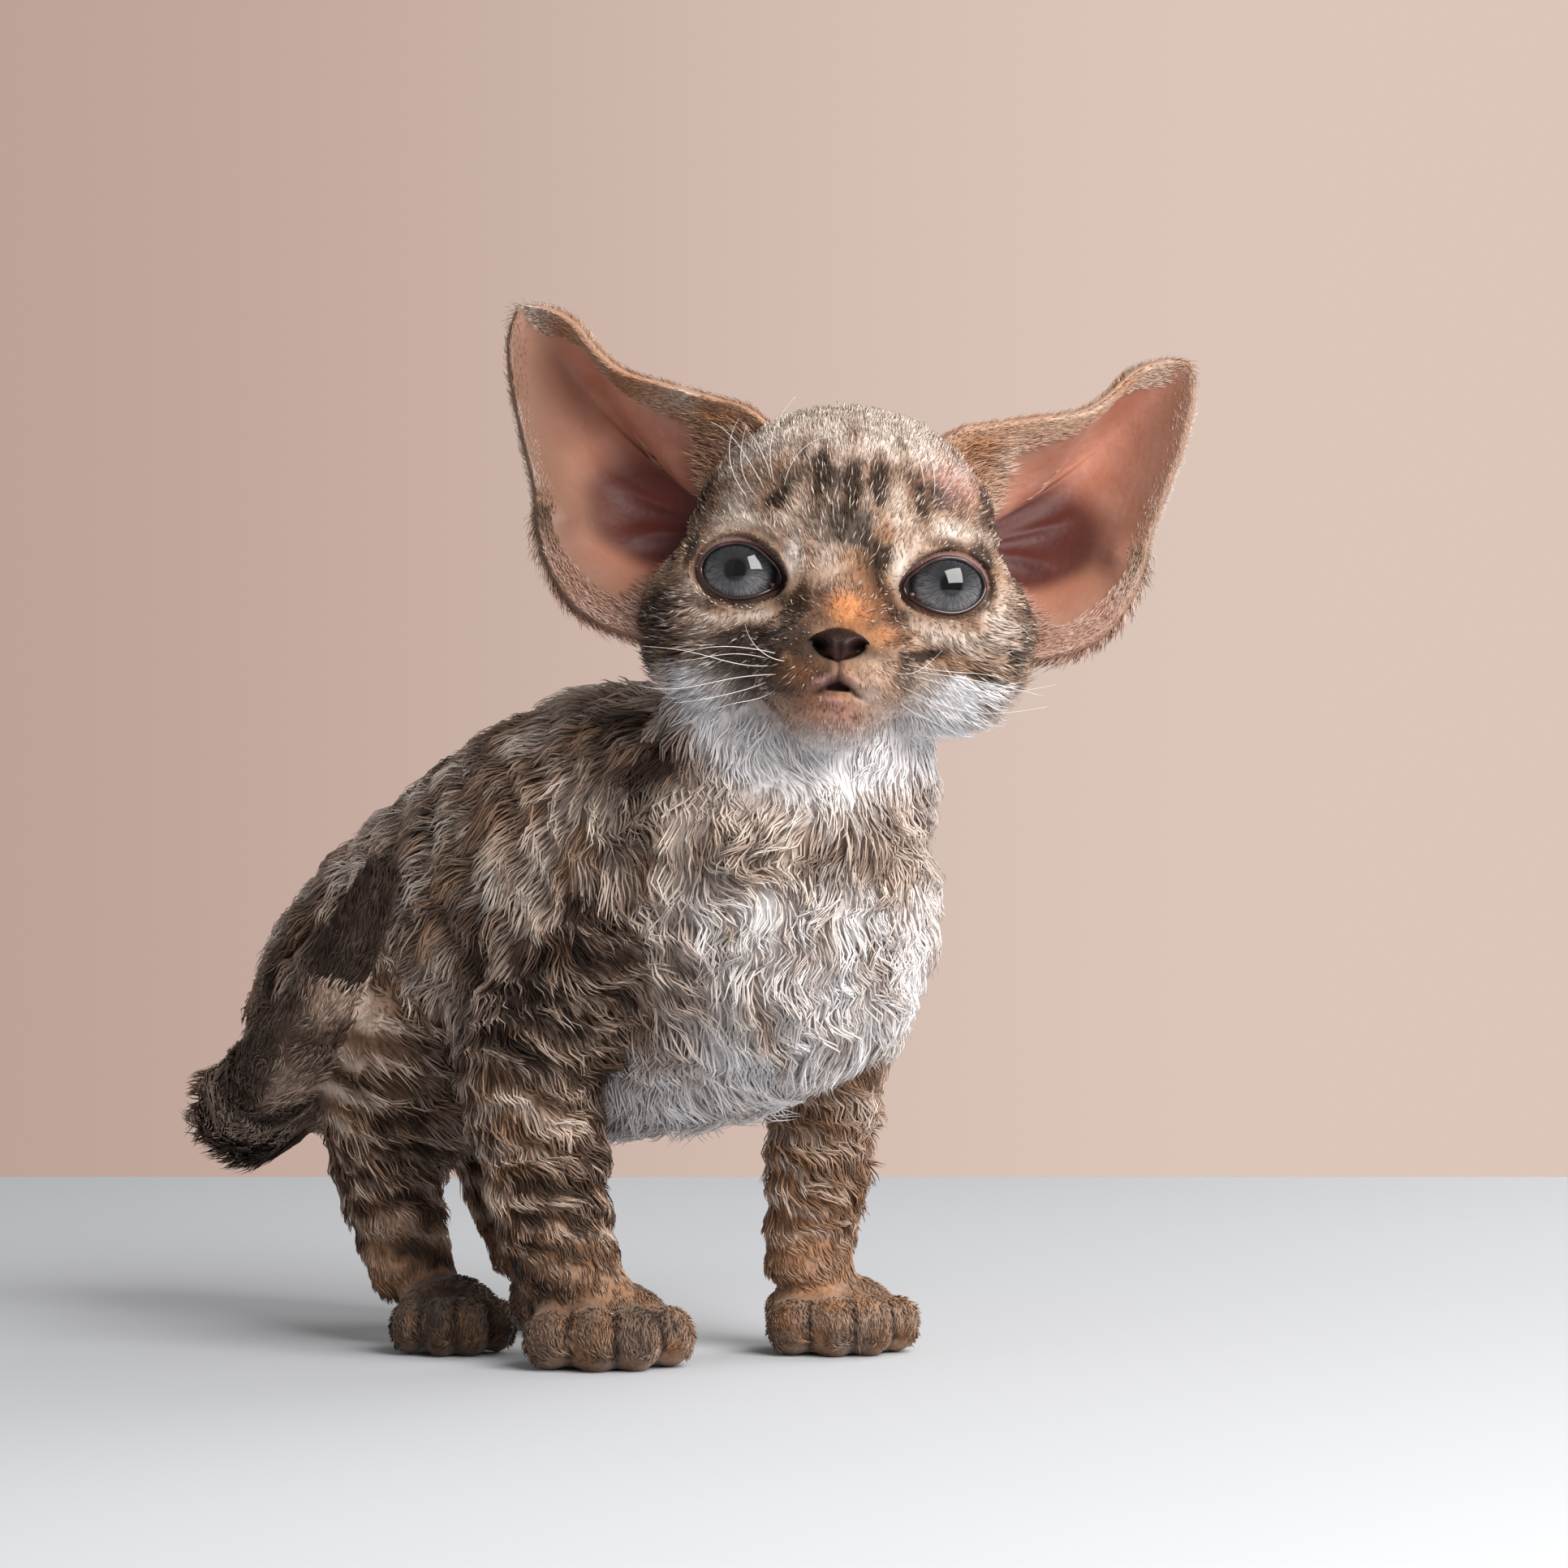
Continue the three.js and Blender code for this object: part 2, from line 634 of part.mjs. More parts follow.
// The origin is under the middle of the whole animal, on the floor
const extent = new THREE.Box3().setFromObject(group);
group.position.set(-(extent.min.x + extent.max.x) / 2, -(extent.min.y + extent.max.y) / 2, -extent.min.z);

export default group;
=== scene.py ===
"""The looks of a life-size, five-week-old curly-coated kitten: skin, coat, ears, eyes and whiskers.

The forms are worked in millimetres, with x right, y away and z up as the camera sees them, and are
set into the frame by one shift when a mesh is made.
"""
import math

import bmesh
import bpy
import numpy as np
from mathutils import Matrix, Vector, kdtree


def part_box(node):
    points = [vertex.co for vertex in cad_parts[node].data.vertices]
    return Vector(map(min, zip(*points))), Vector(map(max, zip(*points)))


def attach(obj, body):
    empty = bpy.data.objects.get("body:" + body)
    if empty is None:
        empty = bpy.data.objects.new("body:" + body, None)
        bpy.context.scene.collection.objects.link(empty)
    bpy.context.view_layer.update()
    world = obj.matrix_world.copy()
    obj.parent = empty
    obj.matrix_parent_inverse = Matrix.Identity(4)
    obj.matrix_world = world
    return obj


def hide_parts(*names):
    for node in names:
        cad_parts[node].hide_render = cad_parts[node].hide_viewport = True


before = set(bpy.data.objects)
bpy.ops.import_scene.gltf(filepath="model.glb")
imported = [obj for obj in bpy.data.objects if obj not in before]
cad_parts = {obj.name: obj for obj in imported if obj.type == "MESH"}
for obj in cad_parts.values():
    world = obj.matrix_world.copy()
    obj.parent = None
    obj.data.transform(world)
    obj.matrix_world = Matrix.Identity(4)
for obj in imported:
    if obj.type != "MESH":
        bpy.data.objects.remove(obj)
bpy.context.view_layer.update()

MM = 0.001
SEED = 7

# Trunk and head, as in the solids
TRUNK_HEADING = 46
CHEST = np.array([-2.0, 12.0, 0.0])
HEAD_CENTRE = np.array([9.6, 5.0, 130.0])
HEAD_ROLL = 4
HEAD_PITCH = -3
EYE_RADIUS = 8.0
EYE_APART = 31.4
EYE_DEPTH = -8.6
EYE_LEVEL = -2.8
EYE_TURN = 12
EAR_SCALE = {"right": 1.05, "left": 1.0}
SIDES = {"right": -1, "left": 1}
COAT_DEPTH = 3.0
TAIL_COAT_DEPTH = 1.4
HEAD_COAT_DEPTH = 0.9
PAW_COAT_DEPTH = 0.8

# Camera: where it stands, and its focal length for a frame of this many pixels
CAMERA_PLACE = np.array([0.0, -900.0, 95.0])
FRAME_PIXELS = 1932
FOCAL_PIXELS = 6842
SENSOR = 36.0
FLOOR_END = 443.0

heading = math.radians(TRUNK_HEADING)
BACK = np.array([-math.sin(heading), math.cos(heading), 0.0])
LEFT = np.array([math.cos(heading), math.sin(heading), 0.0])
FRONT = -BACK
UP = np.array([0.0, 0.0, 1.0])


def turn_matrix(axis, degrees):
    return np.array(Matrix.Rotation(math.radians(degrees), 3, axis))


HEAD_TURN = turn_matrix("Y", HEAD_ROLL) @ turn_matrix("X", HEAD_PITCH)


def unit(vectors):
    return vectors / np.maximum(np.linalg.norm(vectors, axis=-1, keepdims=True), 1e-9)


def step_between(low, high, value):
    t = np.clip((value - low) / (high - low), 0, 1)
    return t * t * (3 - 2 * t)


def bell(value):
    return np.exp(-value * value)


def dot(a, b):
    return np.sum(a * b, axis=-1)


def circle(count):
    """Angles spread evenly round a circle."""
    return np.arange(count) / count * 2 * math.pi


def outside_ball(points, centre, half):
    """Roughly the distance outside a ball with three half sizes."""
    return (np.linalg.norm((points - centre) / half, axis=1) - 1) * half.mean()


def spot(points, centre, half):
    """A soft spot in space: 1 at its centre, fading over its three half sizes."""
    return bell(np.linalg.norm((points - np.array(centre)) / np.array(half), axis=1))


def at(back, left, up):
    """A place on the trunk: behind the chest, to its left, above the floor."""
    return CHEST + BACK * back + LEFT * left + UP * up


def head_to_body(points):
    return np.asarray(points) @ HEAD_TURN.T + HEAD_CENTRE


def body_to_head(points):
    return (np.asarray(points) - HEAD_CENTRE) @ HEAD_TURN


def lattice_value(cells, seed):
    """A random number from 0 to 1 for each corner of a lattice."""
    h = cells[..., 0] * 374761393 + cells[..., 1] * 668265263 + cells[..., 2] * 2147483647 + seed * 144665
    h = (h ^ (h >> 13)) * 1274126177
    return ((h ^ (h >> 16)) & 0xFFFF) / 65535.0


def noise(points, size, seed=0):
    """Smooth noise from -1 to 1, with features of about the given size."""
    q = np.asarray(points) / size
    base = np.floor(q).astype(np.int64)
    f = q - base
    f = f * f * (3 - 2 * f)
    total = 0
    for corner in np.ndindex(2, 2, 2):
        weight = np.prod(np.where(corner, f, 1 - f), axis=-1)
        total = total + weight * lattice_value(base + np.array(corner), seed)
    return total * 2 - 1


def smooth_through(values, t):
    """A value along a list of control values, smooth through each of them."""
    values = np.asarray(values, float)
    span = np.clip(t, 0, 1) * (len(values) - 1)
    i = np.minimum(span.astype(int), len(values) - 2)
    f = span - i
    if values.ndim > 1:
        f = f[..., None]
    p0, p1 = values[np.maximum(i - 1, 0)], values[i]
    p2, p3 = values[i + 1], values[np.minimum(i + 2, len(values) - 1)]
    curve = 2 * p1 + (p2 - p0) * f + (2 * p0 - 5 * p1 + 4 * p2 - p3) * f ** 2
    return (curve + (3 * p1 - p0 - 3 * p2 + p3) * f ** 3) / 2


class Limb:
    """A rounded limb: centres with a width and a depth out to the tips of the coat."""

    def __init__(self, stops, reference, caps, coat=COAT_DEPTH):
        self.centres = np.array([stop[0] for stop in stops], float)
        self.widths = np.array([stop[1] for stop in stops], float)
        self.depths = np.array([stop[2] for stop in stops], float)
        self.reference = np.asarray(reference, float)
        self.caps = caps
        self.coat = coat

    def frame(self, t):
        step = 0.08
        forward = unit(smooth_through(self.centres, np.minimum(t + step, 1))
                       - smooth_through(self.centres, np.maximum(t - step, 0)))
        side = unit(np.cross(forward, self.reference))
        return forward, side, np.cross(side, forward)

    def grid(self, grow, sides=48, steps=48, cap_steps=10):
        """Rings of points over the whole limb, its two round ends included."""
        ends = np.cos(np.arange(cap_steps) / cap_steps * math.pi / 2)
        t = np.concatenate([-ends, np.linspace(0, 1, steps + 1), 1 + ends[::-1]])
        inside = np.clip(t, 0, 1)
        over = t - inside
        forward, side, top = self.frame(inside)
        cap = np.where(over < 0, self.caps[0], self.caps[1]) + grow
        scale = np.sqrt(np.maximum(0, 1 - over ** 2))
        centre = smooth_through(self.centres, inside) + forward * (over * cap)[:, None]
        wide = (scale * (smooth_through(self.widths, inside) / 2 + grow))[:, None, None]
        deep = (scale * (smooth_through(self.depths, inside) / 2 + grow))[:, None, None]
        angle = circle(sides)[None, :, None]
        ring = np.cos(angle) * side[:, None, :] * wide + np.sin(angle) * top[:, None, :] * deep
        return centre[:, None, :] + ring

    def nearest(self, points, samples=41):
        """For each point: distance outside the skin, place along the limb, angle round it, direction."""
        t = np.linspace(0, 1, samples)
        centres = smooth_through(self.centres, t)
        best = np.argmin(((points[:, None, :] - centres[None]) ** 2).sum(-1), axis=1)
        forward, side, top = self.frame(t)
        off = points - centres[best]
        x, y = dot(off, side[best]), dot(off, top[best])
        z = dot(off, forward[best])
        wide = smooth_through(self.widths, t)[best] / 2 - self.coat
        deep = smooth_through(self.depths, t)[best] / 2 - self.coat
        mean = np.sqrt(wide * deep)
        size = np.sqrt((x / wide) ** 2 + (y / deep) ** 2 + (z / mean) ** 2)
        return (size - 1) * mean, t[best], np.arctan2(y, x), forward[best]


TRUNK = Limb([
    (at(-10, 0, 75), 48, 58), (at(8, 0, 75), 54, 71), (at(30, 0, 74.5), 56, 78),
    (at(52, 0, 69.5), 57, 75), (at(74, 0, 63.5), 54, 65), (at(92, 0, 57), 48, 55),
    (at(106, 0, 49.5), 38, 43), (at(117, 0, 42), 25, 27),
], UP, (18, 8))
NECK = Limb([
    (at(2, 1, 80), 50, 50), ((1, 18, 95), 53, 50), ((3, 15, 108), 49, 46), ((8, 12, 122), 40, 38),
], FRONT, (10, 8))
FORELEG_RIGHT = Limb([
    (at(18, -17, 72), 26, 32), ((-41, 17, 52), 26, 30), ((-40, 14, 36), 24, 26),
    ((-38, 12, 23), 23.5, 23), ((-34, 10, 12), 23, 22),
], FRONT, (10, 5))
FORELEG_LEFT = Limb([
    (at(10, 16, 72), 24, 30), ((7, 32, 54), 22, 26), ((6, 33, 40), 21, 22),
    ((5, 33, 26), 20.5, 20.5), ((4, 32, 13), 21, 20),
], FRONT, (10, 5))
HINDLEG_RIGHT = Limb([
    (at(76, -14, 68), 30, 38), (at(72, -18, 53), 32, 42), (at(71, -20, 39), 26, 34),
    (at(70, -21, 26), 20, 24), (at(62, -23, 12), 19, 21),
], FRONT, (10, 5))
HINDLEG_LEFT = Limb([
    (at(84, 13, 66), 30, 36), (at(82, 17, 52), 32, 40), (at(84, 19, 39), 25, 32),
    (at(84, 19, 26), 19, 23), (at(77, 18, 12), 18, 20),
], FRONT, (10, 5))
TAIL = Limb([
    (at(104, 1, 45), 15, 15), ((-93, 81, 38), 20, 19.5), ((-91.5, 66, 41), 18, 18),
    ((-85.5, 47, 48), 16, 16), ((-78.5, 34.5, 58), 14, 14), ((-71.5, 27, 70), 12, 12),
    ((-67, 24, 80), 9, 9),
], unit(np.array([0.3, 0.2, 1.0])), (6, 4), TAIL_COAT_DEPTH)

LIMBS = {
    "torso": TRUNK, "neck": NECK, "foreleg_right": FORELEG_RIGHT, "foreleg_left": FORELEG_LEFT,
    "hindleg_right": HINDLEG_RIGHT, "hindleg_left": HINDLEG_LEFT, "tail": TAIL,
}

# Paws: centre, turn of the toes, width, length, height
PAWS = {
    "forepaw_right": ((-29.5, 8, 0), 14, 29, 27, 13.5),
    "forepaw_left": ((8.6, 31, 0), 18, 27, 25, 13),
    "hindpaw_right": ((-56, 31, 0), 10, 22, 25, 12.5),
    "hindpaw_left": ((-39, 72, 0), 16, 21, 25, 12.5),
}
TOE_PLACES = (-1.5, -0.5, 0.5, 1.5)
REGIONS = [*LIMBS, *PAWS, "head"]

# Head: rounded forms (centre, half sizes, paired) that melt into one another
HEAD_FORMS = [
    ((0, 5, 3), (25.5, 28, 24.3), False),
    ((15.5, 0, -10), (16.5, 18, 15.5), True),
    ((0, -14.5, -17), (13.5, 13, 10.5), False),
    ((0, -17, -9), (6, 11.5, 6.5), False),
    ((5.6, -20, -18), (6.6, 8.6, 5.8), True),
    ((0, -13.5, -22.5), (8.5, 10.5, 8), False),
    ((15.2, -7.2, -2.2), (11.2, 10.2, 9.5), True),
]
HEAD_MELT = 1.4
HEAD_HEART = np.array([0.0, 0.0, -5.0])


def head_outside(p):
    """Roughly the distance outside the melted forms of the head, in its own axes."""
    total = 0
    for centre, half, paired in HEAD_FORMS:
        for sign in ((1, -1) if paired else (1,)):
            off = (p - np.array([sign * centre[0], centre[1], centre[2]])) / np.array(half, float)
            size = np.linalg.norm(off, axis=-1)
            total = total + np.exp(-(size - 1) * np.mean(half) / HEAD_MELT)
    return -HEAD_MELT * np.log(np.maximum(total, 1e-12))


def slope_of(field, points, step=0.05):
    slope = np.zeros_like(points)
    for axis in range(3):
        move = np.zeros(3)
        move[axis] = step
        slope[:, axis] = (field(points + move) - field(points - move)) / (2 * step)
    return slope


def onto_head(points, level, rounds=4):
    """Moves points onto the surface where the head's field has the given level."""
    for _ in range(rounds):
        slope = slope_of(head_outside, points)
        gap = head_outside(points) - level
        points = points - slope * (gap / np.maximum(dot(slope, slope), 0.05))[:, None]
    return points


def along_ray(start, rays, level, near=5.0, far=60.0):
    """The last places on rays from inside the head that are still under the given level."""
    low, high = np.full(len(rays), near), np.full(len(rays), far)
    for _ in range(24):
        middle = (low + high) / 2
        inside = head_outside(start + rays * middle[:, None]) < level
        low, high = np.where(inside, middle, low), np.where(inside, high, middle)
    return start + rays * low[:, None]


def on_face(across, up, level):
    """The place of the given level straight in front of a place across and up the head."""
    return along_ray(np.array([[across, 0.0, up]]), np.array([[0.0, -1.0, 0.0]]), level, 0.0, 45.0)[0]


# Meshes
def grid_faces(rows, columns, closed=True):
    """Quads of a grid whose columns may close on themselves."""
    r, c = np.meshgrid(np.arange(rows - 1), np.arange(columns if closed else columns - 1), indexing="ij")
    a = (r * columns + c).ravel()
    b = (r * columns + (c + 1) % columns).ravel()
    return np.stack([a, b, b + columns, a + columns], -1)


def combined(parts):
    points, faces, start = [], [], 0
    for p, f in parts:
        points.append(p)
        faces.append(f + start)
        start += len(p)
    return np.concatenate(points), np.concatenate(faces)


def bare_mesh(name, points, faces):
    """A mesh whose faces all have the same number of corners."""
    mesh = bpy.data.meshes.new(name)
    corners = faces.shape[1]
    mesh.vertices.add(len(points))
    mesh.vertices.foreach_set("co", np.ascontiguousarray(points, np.float32).ravel())
    mesh.loops.add(faces.size)
    mesh.loops.foreach_set("vertex_index", np.ascontiguousarray(faces, np.int32).ravel())
    mesh.polygons.add(len(faces))
    mesh.polygons.foreach_set("loop_start", np.arange(len(faces), dtype=np.int32) * corners)
    mesh.update(calc_edges=True)
    return mesh


def to_frame(points):
    return (np.asarray(points) + SHIFT) * MM


def linked(name, data):
    """A new object in the scene."""
    obj = bpy.data.objects.new(name, data)
    bpy.context.scene.collection.objects.link(obj)
    return obj


def piece(name, points, faces, material, slot, masks=None, body="root"):
    """A smooth piece set into the frame, with its masks as named values on its points."""
    mesh = bare_mesh(name, to_frame(points), faces)
    mesh.polygons.foreach_set("use_smooth", np.ones(len(faces), bool))
    for label, values in (masks or {}).items():
        layer = mesh.attributes.new(label, "FLOAT", "POINT")
        layer.data.foreach_set("value", np.ascontiguousarray(values, np.float32))
    mesh.materials.append(material)
    mesh.update()
    obj = linked(name, mesh)
    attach(obj, body)
    return obj


MAP_EDGE = 0.003
PATCH_HALF = 0.0015


def set_map(obj, place, within):
    """Gives each point its place on the map, and each hair a small patch of its own round its root's."""
    uv = place * (1 - 2 * MAP_EDGE) + MAP_EDGE + within * PATCH_HALF
    layer = obj.data.uv_layers.new(name="OFBake")
    corner_uv = uv.reshape(-1, 2)[corners_of(obj.data)]
    layer.data.foreach_set("uv", np.ascontiguousarray(corner_uv, np.float32).ravel())


def face_outwards(obj, poles=False):
    """Turns the faces of a closed piece outwards, and joins what a grid stacks at its poles."""
    bm = bmesh.new()
    bm.from_mesh(obj.data)
    if poles:
        bmesh.ops.remove_doubles(bm, verts=bm.verts, dist=1e-7)
        bmesh.ops.dissolve_degenerate(bm, edges=bm.edges, dist=1e-8)
    if bm.calc_volume(signed=True) < 0:
        bmesh.ops.reverse_faces(bm, faces=bm.faces)
    for face in bm.faces:
        face.smooth = True
    bm.to_mesh(obj.data)
    bm.free()


def corners_of(mesh):
    corners = np.zeros(len(mesh.loops), np.int32)
    mesh.loops.foreach_get("vertex_index", corners)
    return corners


def taken_apart(mesh):
    """The points and faces of a mesh, which is then removed."""
    points = np.zeros(len(mesh.vertices) * 3, np.float32)
    mesh.vertices.foreach_get("co", points)
    corners = corners_of(mesh)
    width = len(corners) // len(mesh.polygons)
    bpy.data.meshes.remove(mesh)
    return points.reshape(-1, 3).astype(float), corners.reshape(-1, width)


def remeshed(points, faces, voxel):
    """One closed skin round everything that overlaps."""
    obj = linked("remeshing", bare_mesh("remeshing", points, faces))
    modifier = obj.modifiers.new("voxels", "REMESH")
    modifier.mode = "VOXEL"
    modifier.voxel_size = voxel
    shown = obj.evaluated_get(bpy.context.evaluated_depsgraph_get())
    mesh = bpy.data.meshes.new_from_object(shown)
    bpy.data.objects.remove(obj)
    return taken_apart(mesh)


def edges_of(faces):
    pairs = np.concatenate([faces[:, [i, (i + 1) % faces.shape[1]]] for i in range(faces.shape[1])])
    return np.unique(np.sort(pairs, axis=1), axis=0)


def relaxed(values, edges, rounds, share=0.5):
    """Values on points, each drawn towards the mean of its neighbours."""
    values = np.array(values, float)
    flat = values.reshape(len(values), -1)
    count = np.maximum(np.bincount(edges.ravel(), minlength=len(flat)), 1)
    share = np.broadcast_to(np.asarray(share, float), (len(flat),))
    for _ in range(rounds):
        for column in range(flat.shape[1]):
            v = flat[:, column]
            total = np.bincount(edges[:, 0], v[edges[:, 1]], len(flat))
            total += np.bincount(edges[:, 1], v[edges[:, 0]], len(flat))
            flat[:, column] = v + share * (total / count - v)
    return flat.reshape(values.shape)


def point_normals(points, faces):
    a, b, c = points[faces[:, 0]], points[faces[:, 1]], points[faces[:, 2]]
    normal = np.cross(b - a, c - a)
    out = np.zeros_like(points)
    for axis in range(3):
        for corner in range(3):
            out[:, axis] += np.bincount(faces[:, corner], normal[:, axis], len(points))
    return unit(out)


# Skin
SKIN_VOXEL = 1.2
FACE_CUTS = 3
SKIN_ROUNDS = 8
SMOOTHING = 0.5
PAW_SMOOTHING = 0.24
PAW_TOP = 13


def paw_balls(name, inset):
    """Centre and half sizes of the pad and the toes of a paw, with the way they point."""
    centre, turn, width, length, height = PAWS[name]
    a = math.radians(turn)
    ahead = np.array([math.sin(a), -math.cos(a), 0.0])
    across = np.array([math.cos(a), math.sin(a), 0.0])
    balls = [(np.array(centre) - ahead * length * 0.12 + UP * height * 0.5,
              np.array([width * 0.43, length * 0.42, height * 0.56]) - inset)]
    for place in TOE_PLACES:
        inner = abs(place) < 1
        toe = np.array(centre) + across * place * width * 0.225
        toe = toe + ahead * length * (0.3 if inner else 0.17) + UP * height * 0.36
        half = np.array([width * 0.165, length * (0.29 if inner else 0.26),
                         height * (0.46 if inner else 0.42)])
        balls.append((toe, half - inset * 0.7))
    return balls, ahead


def ball_rays(polar, sides):
    """Directions in rings round an axis: across it, along it, and across it the other way."""
    polar, angle = polar[:, None], circle(sides)[None]
    across = np.sin(polar)
    return across * np.cos(angle), np.cos(polar) * np.ones_like(angle), across * np.sin(angle)


def ball_grid(centre, half, sides=32, stations=20):
    x, z, y = ball_rays(np.linspace(0, math.pi, stations + 1), sides)
    return np.stack([x, y, z], -1) * np.asarray(half) + np.asarray(centre)


def grid_part(grid):
    rows, columns = grid.shape[:2]
    return grid.reshape(-1, 3), grid_faces(rows, columns)


def head_grid(sides=120, stations=90):
    x, y, z = ball_rays(np.linspace(0, math.pi, stations + 1), sides)
    points = along_ray(HEAD_HEART, np.stack([x, -y, z], -1).reshape(-1, 3), -HEAD_COAT_DEPTH)
    return head_to_body(points).reshape(stations + 1, sides, 3)


def eye_axes(sign):
    """Across, ahead and up in front of an eye, in the head's axes."""
    a = sign * math.radians(EYE_TURN)
    return np.array([[math.cos(a), math.sin(a), 0], [math.sin(a), -math.cos(a), 0], [0, 0, 1]])


def eye_centre(sign):
    return np.array([sign * EYE_APART / 2, EYE_DEPTH, EYE_LEVEL])


LID_HALF = np.array([6.15, 4.4])
LID_HEIGHT = 0.5
LID_DEPTH = 0.75
LID_POINT = 1.75
LID_REACH = 2.1


def almond(sign, u, v):
    """How far out a place before the eye is: 1 on the line of the lids."""
    inward = -sign * u / LID_HALF[0]
    middle = -0.55 * np.clip(inward, 0, 1.4) ** 2 + 0.25 * np.clip(-inward, 0, 1.4) ** 2
    high = (v - middle) / LID_HALF[1]
    corner = 1 + 0.1 * np.clip(inward, 0, 1) ** 4
    return np.sqrt((u / (LID_HALF[0] * corner)) ** 2 + np.abs(high) ** LID_POINT)


def seen_from_eye(local, sign):
    """Places in an eye's own axes, across, ahead and up, and how far out from its lids each is."""
    own = (local - eye_centre(sign)) @ eye_axes(sign).T
    return own, almond(sign, own[:, 0], own[:, 2])


def from_eye(own, sign):
    """Points of an eye's own axes, in the body's axes."""
    return head_to_body(own.reshape(-1, 3) @ eye_axes(sign) + eye_centre(sign))


NOSE_CENTRE = np.array([0.0, -26.7, -14.5])
NOSE_HALF = np.array([4.5, 2.7, 2.6])
MOUTH_MIDDLE = 0.3
MOUTH_LINE = np.array([[-7.6, -23.9], [-5.2, -23.2], [-2.8, -22.0], [-1.2, -20.8], [0.3, -20.1],
                       [1.8, -20.8], [3.4, -22.0], [5.8, -23.2], [8.2, -23.9]])
LIP_CLEFT = np.array([[0.1, -16.2], [0.2, -18.2], [0.3, -20.1]])


def distance_to_line(x, z, line):
    best = np.full(len(x), 1e9)
    for (x0, z0), (x1, z1) in zip(line[:-1], line[1:]):
        dx, dz = x1 - x0, z1 - z0
        t = np.clip(((x - x0) * dx + (z - z0) * dz) / (dx * dx + dz * dz), 0, 1)
        best = np.minimum(best, np.hypot(x - x0 - t * dx, z - z0 - t * dz))
    return best


def with_eye_lids(p):
    """Lifts the skin round each eye into lids, and opens it over the eyeball."""
    p = p.copy()
    for sign in (1, -1):
        own, rho = seen_from_eye(p, sign)
        u, w, v = own.T.copy()
        near = (w > 0) & (np.abs(u) < 15) & (np.abs(v) < 13)
        ball = np.sqrt(np.maximum(EYE_RADIUS ** 2 - u * u - v * v, 6.0))
        lid = ball + LID_HEIGHT - 0.25 * step_between(1.12, 1.0, rho)
        fold = 0.45 * bell((rho - 1.5) / 0.13) * step_between(-1, 2.5, v)
        out = step_between(1.05, LID_REACH, rho)
        raised = np.maximum(lid * (1 - out) + w * out, w * step_between(1.0, 1.35, rho)) - fold
        target = np.where(rho < 1.0, ball - 1.4, raised)
        own[:, 1] = np.where(near & (rho < LID_REACH), target, w)
        p = np.where(near[:, None], own @ eye_axes(sign) + eye_centre(sign), p)
    return p


def with_mouth(p):
    """Presses the line of the mouth, the cleft of the lip and the small opening into the muzzle."""
    x, z = p[:, 0], p[:, 2]
    front = p[:, 1] < -8
    line = distance_to_line(x, z, MOUTH_LINE)
    aside = np.abs(x - MOUTH_MIDDLE)
    fade = step_between(5.5, 2.6, aside)
    depth = 1.2 * bell(line / 0.5) * (0.15 + 0.85 * fade)
    depth += 0.8 * bell(distance_to_line(x, z, LIP_CLEFT) / 0.5)
    lip = np.interp(x, MOUTH_LINE[:, 0], MOUTH_LINE[:, 1])
    inside = step_between(lip + 0.2, lip - 0.15, z) * step_between(-21.9, -21.4, z)
    depth = np.maximum(depth, 2.4 * inside * step_between(2.3, 1.6, aside))
    lower = 0.45 * bell((z + 23.3) / 0.8) * bell((x - MOUTH_MIDDLE) / 3.2)
    upper = 0.35 * bell((line - 1.3) / 0.7) * (z > lip) * fade
    under_nose = np.linalg.norm((p - NOSE_CENTRE)[:, [0, 2]] / NOSE_HALF[[0, 2]], axis=1)
    depth = depth + 3.2 * step_between(1.0, 0.8, under_nose)
    q = p.copy()
    q[:, 1] += np.where(front, depth - lower - upper, 0)
    return q


def mouth_depth(local):
    """How dark the mouth is, from 0 to 1: dark lips, with painted shade in their line, cleft and opening.
    """
    x, z = local[:, 0], local[:, 2]
    aside = np.abs(x - MOUTH_MIDDLE)
    line = bell(distance_to_line(x, z, MOUTH_LINE) / 0.42) * step_between(4.6, 2.8, aside) * 0.8
    lip = np.interp(x, MOUTH_LINE[:, 0], MOUTH_LINE[:, 1])
    inside = step_between(lip + 0.3, lip - 0.1, z) * step_between(-22.0, -21.5, z)
    inside = inside * step_between(2.5, 1.8, aside)
    cleft = 0.7 * bell(distance_to_line(x, z, LIP_CLEFT) / 0.4)
    return np.maximum(np.maximum(line, inside), cleft) * (local[:, 1] < -8)


